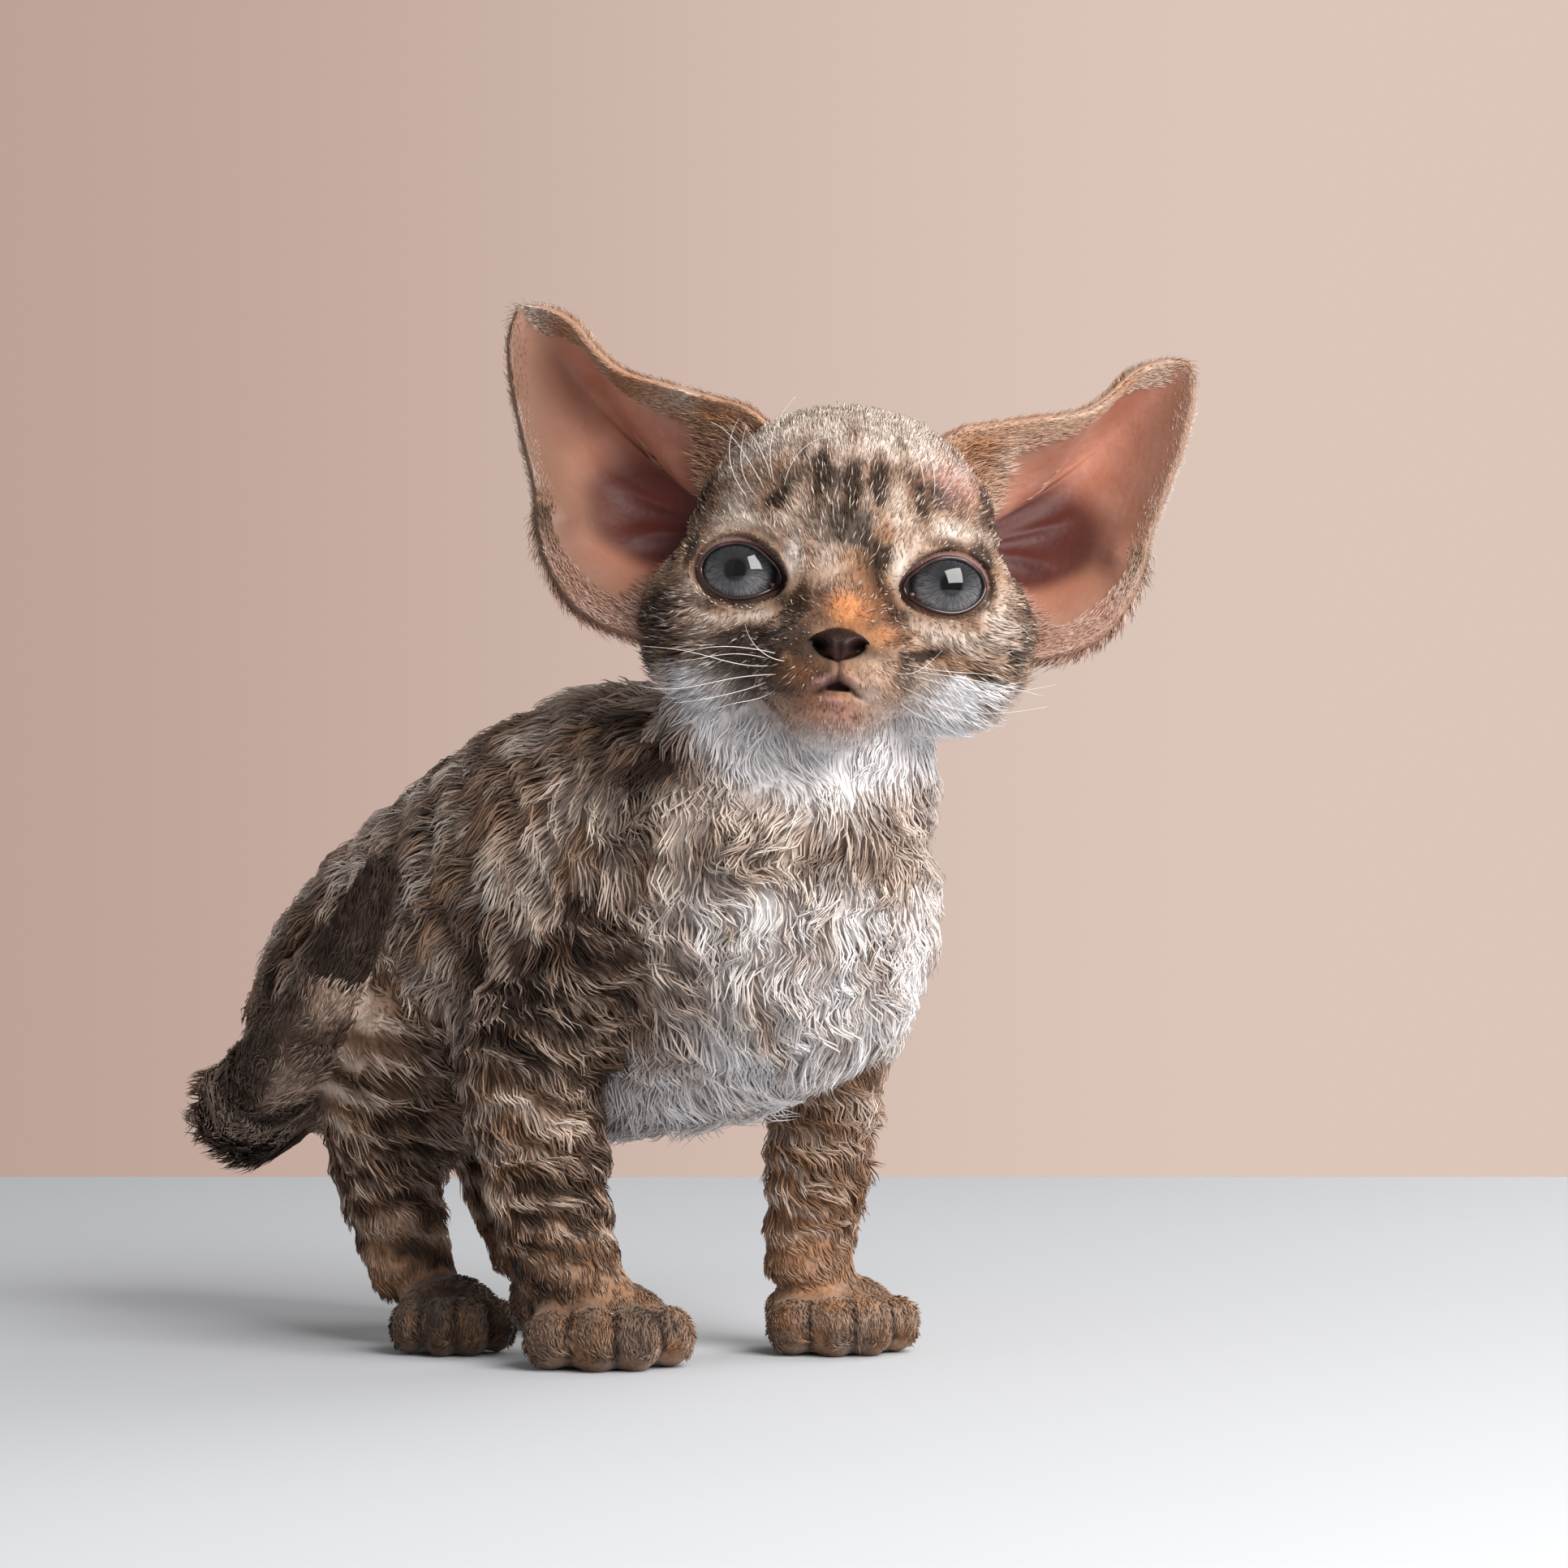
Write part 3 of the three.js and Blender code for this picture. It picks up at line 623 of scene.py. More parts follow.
def make_skin():
    """Points and triangles of one skin over head, trunk, legs, paws and tail, in the body's axes."""
    parts = [grid_part(limb.grid(-limb.coat)) for limb in LIMBS.values()]
    parts.append(grid_part(head_grid()))
    for name in PAWS:
        turn = PAWS[name][1]
        for centre, half in paw_balls(name, PAW_COAT_DEPTH)[0]:
            grid = ball_grid((0, 0, 0), half)
            parts.append(grid_part(grid @ turn_matrix("Z", turn).T + centre))
    points, faces = remeshed(*combined(parts), SKIN_VOXEL)
    edges = edges_of(faces)
    smoothing = np.where(points[:, 2] < PAW_TOP, PAW_SMOOTHING, SMOOTHING)
    points = relaxed(points, edges, SKIN_ROUNDS, smoothing)

    # The head goes back onto its own forms after the smoothing
    local = body_to_head(points)
    body_gap = np.min([limb.nearest(points)[0] for limb in LIMBS.values()], axis=0)
    head_gap = np.abs(head_outside(local) + HEAD_COAT_DEPTH)
    share = step_between(0.5, 4, body_gap) * step_between(5, 2, head_gap)
    snug = onto_head(local, -HEAD_COAT_DEPTH)
    local = local + (snug - local) * share[:, None]
    points = head_to_body(local)

    # The face gets finer faces, for its lids and lips
    mesh = bare_mesh("skin", points, faces)
    bm = bmesh.new()
    bm.from_mesh(mesh)
    bm.verts.ensure_lookup_table()
    fine = (local[:, 1] < -6) & (local[:, 2] < 9) & (np.abs(local[:, 0]) < 27) & (share > 0.5)
    chosen = [e for e in bm.edges if fine[e.verts[0].index] and fine[e.verts[1].index]]
    bmesh.ops.subdivide_edges(bm, edges=chosen, cuts=FACE_CUTS, use_grid_fill=True)
    bmesh.ops.triangulate(bm, faces=bm.faces)
    bm.to_mesh(mesh)
    bm.free()
    points, faces = taken_apart(mesh)
    local = body_to_head(points)
    head_gap = np.abs(head_outside(local) + HEAD_COAT_DEPTH)
    face = (local[:, 1] < -5) & (local[:, 2] < 12) & (head_gap < 1.5)
    local[face] = with_mouth(with_eye_lids(onto_head(local[face], -HEAD_COAT_DEPTH, 2)))
    points = head_to_body(local)
    points[:, 2] = np.maximum(points[:, 2], 0.0)
    return points, faces


def turns(y, x):
    """An angle as a share of a full turn, from 0 to 1."""
    return np.arctan2(y, x) / (2 * math.pi) + 0.5


def region_map(points):
    """For each point: its region, and its place along and round that region's own form."""
    local = body_to_head(points)
    gaps, along, around = [], [], []
    for limb in LIMBS.values():
        gap, t, angle, _ = limb.nearest(points)
        gaps.append(gap)
        along.append(t)
        around.append(angle / (2 * math.pi) + 0.5)
    for name in PAWS:
        balls, _ = paw_balls(name, PAW_COAT_DEPTH)
        off = points - balls[0][0]
        gaps.append(np.min([outside_ball(points, *ball) for ball in balls], axis=0) - 0.5)
        along.append(np.arccos(np.clip(unit(off)[:, 2], -1, 1)) / math.pi)
        around.append(turns(off[:, 1], off[:, 0]))
    off = unit(local)
    gaps.append(head_outside(local) + HEAD_COAT_DEPTH)
    along.append(np.arccos(np.clip(off[:, 2], -1, 1)) / math.pi)
    around.append(turns(off[:, 0], -off[:, 1]))
    region = np.argmin(gaps, axis=0)
    rows = np.arange(len(points))
    return region, np.array(along)[region, rows], np.array(around)[region, rows]


# The lie of the coat
NOSE_TIP = np.array([0.3, -31.0, -13.0])
FLANK_LIE = unit(BACK * 0.75 - UP * 0.66)
SHOULDER_LIE = unit(np.array([0.62, -0.2, -0.76]))
LEG_LIE = unit(np.array([0.75, -0.1, -0.75]))
PAW_LIE = unit(np.array([0.15, -0.45, -0.9]))
CREST_ORIGIN = at(18, 0, 70)
CRESTS = {
    "torso": 8.2, "neck": 6.6, "foreleg": 6.3, "hindleg": 6.6, "tail": 7.0, "forepaw": 9.0,
    "hindpaw": 9.0, "head": 7.0,
}


def crest_angle(points, kind):
    """Where each place lies in the waves that cross the coat, as an angle: 0 on a crest."""
    off = points - CREST_ORIGIN
    down = dot(off, -UP)
    if kind == "torso":
        flank = step_between(6, 30, dot(points - CHEST, BACK))
        down = down * (1 - flank) + dot(off, FLANK_LIE) * flank
    warp = 5.5 * noise(points, 15, 21) + 2.2 * noise(points, 6, 22)
    if kind in ("torso", "neck"):
        behind = step_between(10, 30, dot(points - CHEST, BACK))
        warp = warp + 7.0 * noise(points, 8, 23) * (1 - 0.6 * behind)
    return 2 * math.pi * (down + warp) / CRESTS[kind]


def lie_of_coat(points, normals, region):
    """The way the hair points at each place, along the skin."""
    flow = np.tile(-UP, (len(points), 1))
    names = np.array(REGIONS)[region]
    torso = names == "torso"
    back = dot(points - CHEST, BACK)
    flank = step_between(6, 30, back)[:, None]
    flow[torso] = (FLANK_LIE * flank + (-UP) * (1 - flank))[torso]
    shoulder = spot(points, (-22, 0, 72), (24, 26, 26))
    flow = flow + SHOULDER_LIE * (1.6 * shoulder * (torso | (names == "neck")))[:, None]
    leg = np.array(["leg" in name for name in REGIONS])[region]
    flow[leg] = LEG_LIE
    low = (leg * step_between(26, 10, points[:, 2]))[:, None]
    flow = flow * (1 - low) + PAW_LIE * low
    head = names == "head"
    local = body_to_head(points)
    off = unit(local - NOSE_TIP)
    for sign in (1, -1):
        own, rho = seen_from_eye(local, sign)
        aside = unit(np.stack([own[:, 0], np.zeros(len(own)), own[:, 2] * 1.4], -1)) @ eye_axes(sign)
        near = step_between(2.3, 1.15, rho) * (own[:, 1] > 0)
        off = off + aside * (1.8 * near)[:, None]
    flow[head] = (off @ HEAD_TURN.T)[head]
    tail = names == "tail"
    flow[tail] = TAIL.nearest(points[tail])[3]
    for name in PAWS:
        own = names == name
        flow[own] = paw_balls(name, 0)[1] - UP * 0.5
    flow = unit(flow - normals * dot(flow, normals)[:, None])
    return swirled(points, normals, flow, names)


def swirled(points, normals, flow, names):
    """The lie of the coat, turned this way and that: most on the chest, where the curls are loosest."""
    front = step_between(26, 6, dot(points - CHEST, BACK))
    trunk = (names == "torso") | (names == "neck")
    chest = trunk * front
    turn = chest * 1.15 * noise(points, 9, 31) + (1 - chest) * 0.4 * noise(points, 14, 32)
    turn = (turn * (names != "head") * (points[:, 2] > 14) * (names != "tail"))[:, None]
    return unit(flow * np.cos(turn) + np.cross(normals, flow) * np.sin(turn))


# Markings
DARK_BARS = 6.3
# How dark each paw is: its own tone, with painted shade on the hind paws and the right ones, away from the
# window
PAW_TONE_AND_SHADE = {"forepaw_right": 0.5, "forepaw_left": 0.32, "hindpaw_right": 0.75, "hindpaw_left": 0.7}

# Soft strokes on the face: across, up, half width, half height, lean and strength
DARK_MARKS = [
    (-5.0, 13.2, 2.0, 5.4, 0.12, 0.95), (0.6, 11.0, 1.7, 5.6, 0.05, 1.0),
    (4.6, 12.4, 1.9, 4.8, -0.08, 0.95), (-11.6, 8.4, 2.0, 3.8, 0.5, 0.85),
    (11.8, 9.2, 1.6, 4.6, -0.25, 0.9), (-7.6, 17.5, 1.4, 4.2, 0.25, 0.45),
    (8.4, 18.0, 1.2, 4.0, -0.25, 0.4), (0.2, 20.5, 1.6, 3.4, 0.0, 0.4),
    (-7.4, -8.6, 2.2, 4.6, 0.3, 1.0), (7.6, -7.6, 1.7, 3.6, -0.4, 1.0),
    (9.5, -12.6, 3.2, 1.3, 0.5, 0.8), (-12.0, -13.0, 6.2, 1.9, -0.2, 0.85),
    (14.0, -14.4, 5.6, 1.4, 0.3, 0.75), (-13.0, -17.4, 4.5, 1.1, -0.2, 0.6),
    (-19.0, -9.5, 5.0, 1.2, -0.25, 0.6), (20.5, -9.5, 5.0, 1.2, 0.25, 0.5),
    (-24.5, 0.5, 1.4, 4.2, 0.2, 0.7), (24.0, -3.5, 1.3, 3.6, -0.2, 0.45),
    (-20.0, -17.5, 4.6, 1.3, -0.3, 0.55), (22.0, -16.5, 4.6, 1.3, 0.3, 0.45),
]
PALE_MARKS = [
    (-8.2, 0.2, 1.7, 4.4, 0.05, 0.95), (9.2, -1.0, 1.7, 4.2, -0.05, 0.9),
    (-15.0, 5.8, 7.5, 1.7, 0.05, 0.9), (16.0, 6.2, 7.5, 1.8, -0.05, 0.8),
    (-16.5, -10.5, 7.0, 1.8, 0.1, 0.8), (18.0, -11.2, 7.0, 2.2, -0.1, 0.85),
    (-7.2, 9.0, 1.3, 5.0, 0.25, 0.6), (7.9, 9.0, 1.3, 5.5, -0.15, 0.65),
    (-24.0, -5.5, 3.0, 2.6, 0.0, 0.5), (25.0, -8.0, 3.2, 5.5, 0.0, 0.75),
    (-1.8, 16.0, 0.9, 4.6, 0.0, 0.5), (2.6, 16.5, 0.9, 4.6, 0.0, 0.5),
]
RUST_MARKS = [
    (0.9, -8.4, 4.8, 3.4, 0.0, 1.0), (0.5, -3.6, 3.0, 2.2, 0.0, 0.3),
    (0.0, -25.0, 9.0, 3.2, 0.0, 0.55), (7.2, -12.0, 3.0, 2.0, 0.0, 0.6),
    (-6.5, -20.0, 3.4, 2.2, 0.0, 0.25), (7.0, -20.0, 3.4, 2.2, 0.0, 0.3),
]
BARE_MARKS = [
    (0.3, -23.4, 2.6, 0.8, 0.0, 0.6), (17.0, 14.5, 4.2, 4.6, -0.3, 0.6),
    (-2.4, -20.4, 1.8, 0.7, 0.45, 0.55), (3.0, -20.4, 1.8, 0.7, -0.45, 0.55),
    (0.3, -17.8, 0.7, 2.2, 0.0, 0.6), (0.3, -25.4, 4.2, 1.7, 0.0, 0.45),
]


def marked(local, marks):
    """How strongly a list of soft strokes marks the face, from 0 to 1."""
    total = np.zeros(len(local))
    for across, up, wide, high, lean, strength in marks:
        x, z = local[:, 0] - across, local[:, 2] - up
        x = x - lean * z if high > wide else x
        z = z - lean * x if high <= wide else z
        total = np.maximum(total, strength * np.exp(-((x / wide) ** 2 + (z / high) ** 2)))
    return total * (local[:, 1] < 6)


def toe_creases(points, name):
    """Where two toes of a paw meet, from 0 to 1."""
    balls, way = paw_balls(name, 0)
    nearest, second = np.sort([outside_ball(points, *ball) for ball in balls[1:]], axis=0)[:2]
    centre, _, _, length, height = PAWS[name]
    ahead = dot(points - np.array(centre), way)
    toes = step_between(0.1 * length, 0.38 * length, ahead)
    toes = toes * step_between(height, 0.75 * height, points[:, 2])
    return bell((second - nearest) / 0.8) * step_between(4.5, 2.0, nearest) * toes


def lid_skin(local):
    """The bare skin next to the lids, broader above the eye than below it."""
    total = np.zeros(len(local))
    for sign in (1, -1):
        own, rho = seen_from_eye(local, sign)
        edge = np.where(own[:, 2] > 0, 1.24, 1.1)
        total = np.maximum(total, step_between(edge, edge - 0.12, rho) * (own[:, 1] > 0))
    return 0.7 * total


def lid_shade(local):
    """Darker hair close round the eyes, from 0 to 1."""
    total = np.zeros(len(local))
    for sign in (1, -1):
        own, rho = seen_from_eye(local, sign)
        total = np.maximum(total, bell((rho - 1.15) / 0.24) * (own[:, 1] > 0))
    return total


def bib_share(points, local, names):
    """The white bib right under the chin and the cheeks, from 0 to 1."""
    arc = 96.5 + 10 * ((points[:, 0] - 7) / 20) ** 2
    front = step_between(30, 16, points[:, 1]) * step_between(-22, -13, points[:, 0])
    under = (names == "torso") | (names == "neck") | ((names == "head") & (local[:, 2] < -17))
    return bell((points[:, 2] - arc) / 6.2) * front * under


def tail_tone(points, along, patch, fine):
    """How dark the tail is: mottled at its root, ringed above, and black at the tip."""
    rings = 0.5 + 0.5 * np.cos(2 * math.pi * (along - 0.61) / 0.22 + 0.6 * fine)
    outer_side = step_between(0.5, 3.0, smooth_through(TAIL.centres, along)[:, 0] - points[:, 0])
    upper_part = step_between(0.32, 0.42, along)
    ringed = np.maximum(0.1 + 0.75 * rings, 0.85 * outer_side * upper_part)
    root = 0.22 + 0.45 * patch + 0.5 * step_between(37, 30, points[:, 2])
    return np.where(along > 0.73, 1.4, np.where(upper_part < 0.5, root, ringed))


def face_tones(local, light, patch, fine):
    """How dark and how pale the hair of the face is."""
    streak = np.clip(1.5 * marked(local, DARK_MARKS), 0, 1)
    crown = step_between(13, 19, local[:, 2])
    brow = bell(local[:, 0] / 10) * bell((local[:, 2] - 8) / 9)
    # Darker hair low on the face's left as the camera sees it, away from the window: partly its own, partly
    # painted shade
    dark_and_shaded_side = step_between(0, -14, local[:, 0]) * step_between(0, -8, local[:, 2])
    base = 0.45 + 0.5 * brow + 0.26 * dark_and_shaded_side
    dark = np.maximum((base + 0.6 * patch + 0.5 * fine) * (1 - 0.8 * crown), streak) * (1 - 0.95 * light)
    dark = 0.96 * step_between(0.2, 0.9, dark)
    pale = np.maximum(0.12 - 0.6 * patch + 0.25 * fine + 0.75 * crown, 1.2 * light) * (1 - streak)
    near_eye = lid_shade(local)
    return np.maximum(dark, 0.75 * near_eye), pale * (1 - 0.7 * near_eye)


def coat_marks(points, region, along):
    """Masks from 0 to 1 for dark, pale, rust, white, bare and tan places of skin and coat alike."""
    names = np.array(REGIONS)[region]
    local = body_to_head(points)
    wavy = noise(points, 9, 1)
    fine = noise(points, 3.2, 2)
    patch = noise(points * np.array([1, 1, 0.7]), 7, 3)
    back = dot(points - CHEST, BACK)
    z = points[:, 2]
    trunk = (names == "torso") | (names == "neck")
    legs = np.isin(names, [name for name in REGIONS if "leg" in name])
    left_foreleg = names == "foreleg_left"
    paws = np.isin(names, list(PAWS))
    head = names == "head"
    on_tail = (names == "tail") & (np.abs(TAIL.nearest(points)[0]) < 1.6)
    chest = trunk * step_between(30, 12, back + 0.2 * (z - 60)) * step_between(-22, -10, points[:, 0])
    belly = trunk * step_between(56, 44, z) * step_between(60, 30, back)
    lower = step_between(84, 72, z)
    bars = np.sin(2 * math.pi * ((z + 4.6 * wavy + 1.3 * fine + 0.12 * points[:, 0]) / DARK_BARS))
    tail_dark = tail_tone(points, along, patch, fine)
    light = marked(local, PALE_MARKS)
    face_dark, face_pale = face_tones(local, light, patch, fine)

    dark = 0.36 + 0.95 * patch + 0.6 * fine
    mackerel = np.sin(2 * math.pi * (back + 5 * wavy + 0.35 * z) / 17)
    dark = np.where(trunk, dark * 0.8 + 0.26 * mackerel - 0.11, dark)
    dark = dark - chest * (0.05 + 0.75 * lower) - 0.5 * belly
    # The left foreleg, on the side the window lights, has paler hair and fainter bars: partly its own,
    # partly painted light
    base = np.where(left_foreleg, 0.0, 0.46)
    barred = base + np.where(left_foreleg, 0.24, 0.36) * bars * step_between(8, 20, z)
    dark = np.where(legs, barred + 0.4 * patch + 0.3 * fine, dark)
    dark = dark + 0.9 * spot(points, (0, 22, 57), (9, 14, 7)) * left_foreleg
    dark = dark + 0.3 * spot(points, (-44, 8, 60), (14, 18, 9))
    dark = dark + 0.7 * spot(points, (-24, 10, 98), (8, 20, 15)) * trunk
    dark = np.where(on_tail, tail_dark, dark)
    # Painted shade in the creases between the toes
    toe_crease_shade = np.max([toe_creases(points, name) for name in PAWS], axis=0)
    # Each paw's own tone, with painted shade on those away from the window
    paw_tone_and_shade = np.select([names == name for name in PAW_TONE_AND_SHADE], list(PAW_TONE_AND_SHADE.values()), 0.5)
    dark = np.where(paws, paw_tone_and_shade + 0.3 * patch + 0.3 * fine + 1.0 * toe_crease_shade, dark)
    back_of_head = 0.35 + 0.6 * patch + 0.35 * fine
    dark = np.where(head, np.where(local[:, 1] < 8, face_dark, back_of_head), dark)

    pale = np.clip(0.38 - 1.1 * patch + 0.6 * fine, 0, 1) * 0.95
    pale = np.maximum(pale, chest * (0.35 + 0.45 * fine + 0.45 * lower))
    pale = np.maximum(pale, 0.45 * belly)
    pale = np.where(on_tail, 0.35 * (1 - tail_dark), pale)
    pale_bars = np.clip(-0.5 * bars + 0.08 - 0.3 * patch, 0, 0.8)
    pale = np.where(legs, pale_bars * step_between(10, 26, z), pale)
    pale = np.where(paws, 0.12 + 0.3 * fine, pale)
    pale = np.where(head, np.clip(face_pale, 0, 1), pale)

    white = 1.6 * bib_share(points, local, names)
    white = np.maximum(white, chest * lower * np.clip(0.66 + 0.6 * fine + 0.3 * patch, 0, 1))
    white = np.maximum(white, belly * np.clip(0.85 + 0.4 * fine, 0, 1))
    white = np.maximum(white, 0.6 * bell((points[:, 0] - 28) / 6) * step_between(60, 70, z) * chest)

    rust = np.where(head, marked(local, RUST_MARKS), 0)
    tan = np.where(paws | legs, 0.4 + 0.42 * step_between(66, 26, z), 0)
    tan = np.maximum(tan, np.where(head, 0.8 * (1 - light), 0.35))
    bare = np.where(head, np.maximum(marked(local, BARE_MARKS), lid_skin(local)), 0)
    white = np.clip(white, 0, 1) * (1 - 0.8 * rust)
    dark = dark * (1 - 0.8 * np.clip(white, 0, 1))
    pale = pale * (1 - 0.85 * np.clip(dark, 0, 1))
    masks = {"dark": dark, "pale": pale, "rust": rust, "white": white, "bare": bare, "tan": tan}
    return {label: np.clip(values, 0, 1) for label, values in masks.items()}


# Coat
# Length, height, width, wave across, wave length and tufts a square millimetre, by region
COATS = {
    "torso": (12.0, 2.3, 0.5, 1.15, 7.5, 0.9),
    "neck": (9.0, 2.2, 0.48, 1.1, 6.0, 1.1),
    "foreleg": (8.0, 1.9, 0.46, 0.95, 6.0, 1.15),
    "hindleg": (8.0, 1.9, 0.46, 0.95, 6.0, 1.0),
    "tail": (4.5, 0.8, 0.42, 0.25, 6.0, 1.6),
    "forepaw": (2.7, 0.5, 0.3, 0.08, 5.0, 3.4),
    "hindpaw": (2.7, 0.5, 0.3, 0.08, 5.0, 2.8),
    "head": (3.2, 0.8, 0.28, 0.16, 4.5, 3.2),
}
COAT_LABELS = ("length", "rise", "width", "wave", "wavelength", "density")


def coat_fields(points, region, local, edges):
    """How the coat grows at each place of the skin, smooth from region to region."""
    names = np.array(REGIONS)[region]
    table = np.array([COATS[name.split("_")[0]] for name in REGIONS])
    fields = dict(zip(COAT_LABELS, table[region].T.copy()))
    head = names == "head"
    y, z = local[:, 1], local[:, 2]
    behind = step_between(-14, 10, y)
    below = step_between(-14, -24, z) * step_between(-22, -8, y)
    cheek = step_between(14, 24, np.abs(local[:, 0])) * step_between(2, -14, z)
    growth = 0.8 + 1.1 * behind + 1.0 * below + 0.7 * cheek
    muzzle = spot(local, (0.3, -26, -15), (8, 7, 8))
    growth = growth * (1 - 0.15 * muzzle)
    for label, power in (("length", 1.0), ("rise", 1.0), ("wave", 2.2), ("width", 0.45)):
        fields[label] = np.where(head, fields[label] * growth ** power, fields[label])
    fields["density"] = np.where(head, 3.6 - 1.9 * np.clip(behind + below, 0, 1), fields["density"])
    low = step_between(36, 14, points[:, 2]) * np.array([("leg" in name) for name in REGIONS])[region]
    chest = (names == "neck") | (names == "torso")
    chest = chest * step_between(20, 4, dot(points - CHEST, BACK))
    tail_root = step_between(0.5, 0.34, TAIL.nearest(points)[1]) * (names == "tail")
    bib = bib_share(points, local, names)
    for place, label, share in (
            (low, "length", -0.66), (low, "rise", -0.72), (low, "wave", -0.6), (low, "width", -0.25),
            (low, "density", 0.9), (chest, "wavelength", -0.25), (chest, "length", -0.12),
            (chest, "wave", 0.25), (tail_root, "length", 0.9), (tail_root, "rise", 1.2),
            (tail_root, "wave", 2.0), (bib, "wave", -0.7), (bib, "width", -0.25)):
        fields[label] = fields[label] * (1 + share * place)
    return {label: relaxed(values, edges, 20) for label, values in fields.items()}


def scattered(points, faces, density, rng):
    """Random places spread evenly over a skin: the triangle of each and its three shares."""
    a, b, c = (points[faces[:, i]] for i in range(3))
    area = np.linalg.norm(np.cross(b - a, c - a), axis=1) / 2
    wanted = area * density[faces].mean(1)
    count = np.floor(wanted + rng.random(len(faces))).astype(int)
    face = np.repeat(np.arange(len(faces)), count)
    s, t = rng.random(len(face)), rng.random(len(face))
    over = s + t > 1
    s, t = np.where(over, 1 - s, s), np.where(over, 1 - t, t)
    return face, np.stack([1 - s - t, s, t], -1)


def spread(values, faces, face, shares):
    corners = values[faces[face]]
    return np.einsum("nk,nk...->n...", shares, corners)


def grouped(roots, size, rng):
    """For each root, the root at the heart of the lock that it belongs to."""
    lock_count = max(1, int(len(roots) / size))
    hearts = rng.choice(len(roots), lock_count, replace=False)
    tree = kdtree.KDTree(len(hearts))
    for i, heart in enumerate(hearts):
        tree.insert(roots[heart], i)
    tree.balance()
    return np.array([hearts[tree.find(p)[1]] for p in roots])


TUFT_CORNERS = np.array([math.pi / 2, math.pi * 7 / 6, math.pi * 11 / 6])


def tuft_mesh(name, tuft, rings, material, masks, uv, kind=None, pull=0.45):
    """Tapered three-sided tufts, each curved along its lie, joined in one piece."""
    root, normal, flow = tuft["root"], tuft["normal"], tuft["flow"]
    side = np.cross(normal, flow)
    count = len(root)
    length, rise = tuft["length"], tuft["rise"]
    shares = np.linspace(0, 1, rings + 1)
    turn = 2 * math.pi * length / tuft["wavelength"]
    lines, crests = [], []
    for s in shares:
        reach = length * s * (1 - 0.12 * s)
        along_line = root + flow * reach[:, None]
        angle = crest_angle(along_line, kind) + tuft["phase"] if kind else turn * s + tuft["phase"]
        swing = tuft["wave"] * np.sin(angle) * min(1, 1.6 * s)
        bob = 0.62 * tuft["wave"] * np.cos(angle) * min(1, 1.6 * s)
        lift = rise * (1 - (1 - s) ** 2) * (1 - 0.3 * s) - 0.35 * (1 - s) + bob
        sweep = swing + tuft["bend"] * length * s * s
        lines.append(along_line + side * sweep[:, None] + normal * lift[:, None])
        # How near each ring lies to a wave's crest: it sets the painted light on crests and the painted
        # shade in valleys
        crests.append(0.5 + 0.5 * np.cos(angle))
    lines = np.stack(lines, 1)
    if "heart" in tuft:
        drawn = (lines[tuft["heart"]] - lines) * pull
        lines = lines + drawn * (shares ** 2)[None, :, None]
    lines[:, :, 2] = np.maximum(lines[:, :, 2], 0.12)
    wide = tuft["width"][:, None] * np.interp(shares[:-1], [0, 0.45, 1], [0.8, 1.0, 0.25])[None]
    forward = unit(np.gradient(lines, axis=1))[:, :-1]
    across = unit(np.cross(normal[:, None, :], forward))
    upward = np.cross(forward, across)
    corner = TUFT_CORNERS[None, None, :, None]
    ring = across[:, :, None, :] * np.cos(corner) + upward[:, :, None, :] * np.sin(corner) * 0.7
    ring = lines[:, :-1, None, :] + ring * (wide / 2)[:, :, None, None]
    points = np.concatenate([ring.reshape(count, rings * 3, 3), lines[:, -1:, :]], 1)
    each = rings * 3 + 1
    faces = []
    for r in range(rings - 1):
        for k in range(3):
            a, b = r * 3 + k, r * 3 + (k + 1) % 3
            faces += [(a, b, b + 3), (a, b + 3, a + 3)]
    top = (rings - 1) * 3
    faces += [(top + k, top + (k + 1) % 3, each - 1) for k in range(3)]
    faces.append((2, 1, 0))
    faces = np.array(faces)
    all_faces = (faces[None] + (np.arange(count) * each)[:, None, None]).reshape(-1, 3)
    tip = np.concatenate([np.repeat(shares[:-1], 3), [1.0]])
    values = {label: np.repeat(v, each) for label, v in masks.items()}
    values["tip"] = np.tile(tip, count)
    crests = np.stack(crests, 1)
    values["crest_shading"] = np.concatenate([np.repeat(crests[:, :-1], 3, axis=1), crests[:, -1:]], 1).ravel()
    obj = piece(name, points.reshape(-1, 3), all_faces, material, "coat", values)
    within = np.stack([np.concatenate([np.tile(np.cos(TUFT_CORNERS), rings), [0]]), tip * 2 - 1], -1)
    set_map(obj, uv[:, None, :], within[None])


# Ears
EAR_ROOT = np.array([23.0, 12.0, 6.0])
EAR_RIM = np.array([
    (9, 5, 17), (16, 3, 23.5), (22, 3, 25.5), (30, 4, 27.3), (37, 5.5, 29), (41.5, 7, 32), (46, 9, 36.8),
    (51, 11, 39.2), (54.8, 12, 38.6), (55.9, 11, 33), (54.5, 9.5, 25), (52.2, 8, 17), (50, 6, 10),
    (49, 4.5, 3.5), (46.8, 3, -2.5), (42.7, 1, -8), (37, -1, -11.4), (30, -2, -13),
], float)
EAR_TIP = 0.47
EAR_FRINGE = {"right": 0.1, "left": 0.9}
EAR_DUSK = {"right": 0.95, "left": 0.5}
EAR_SINK = np.array([-6.0, 1.5, -1.5])
EAR_HOLLOW = 9
EAR_SKIN_THICK = (2.4, 0.9)
EAR_GRID = (150, 64)
EAR_RIDGES = ((0.30, 0.03, 0.8), (0.44, 0.035, 0.7), (0.60, 0.035, 0.9), (0.74, 0.04, 1.1))
EAR_FUR_RINGS = 2

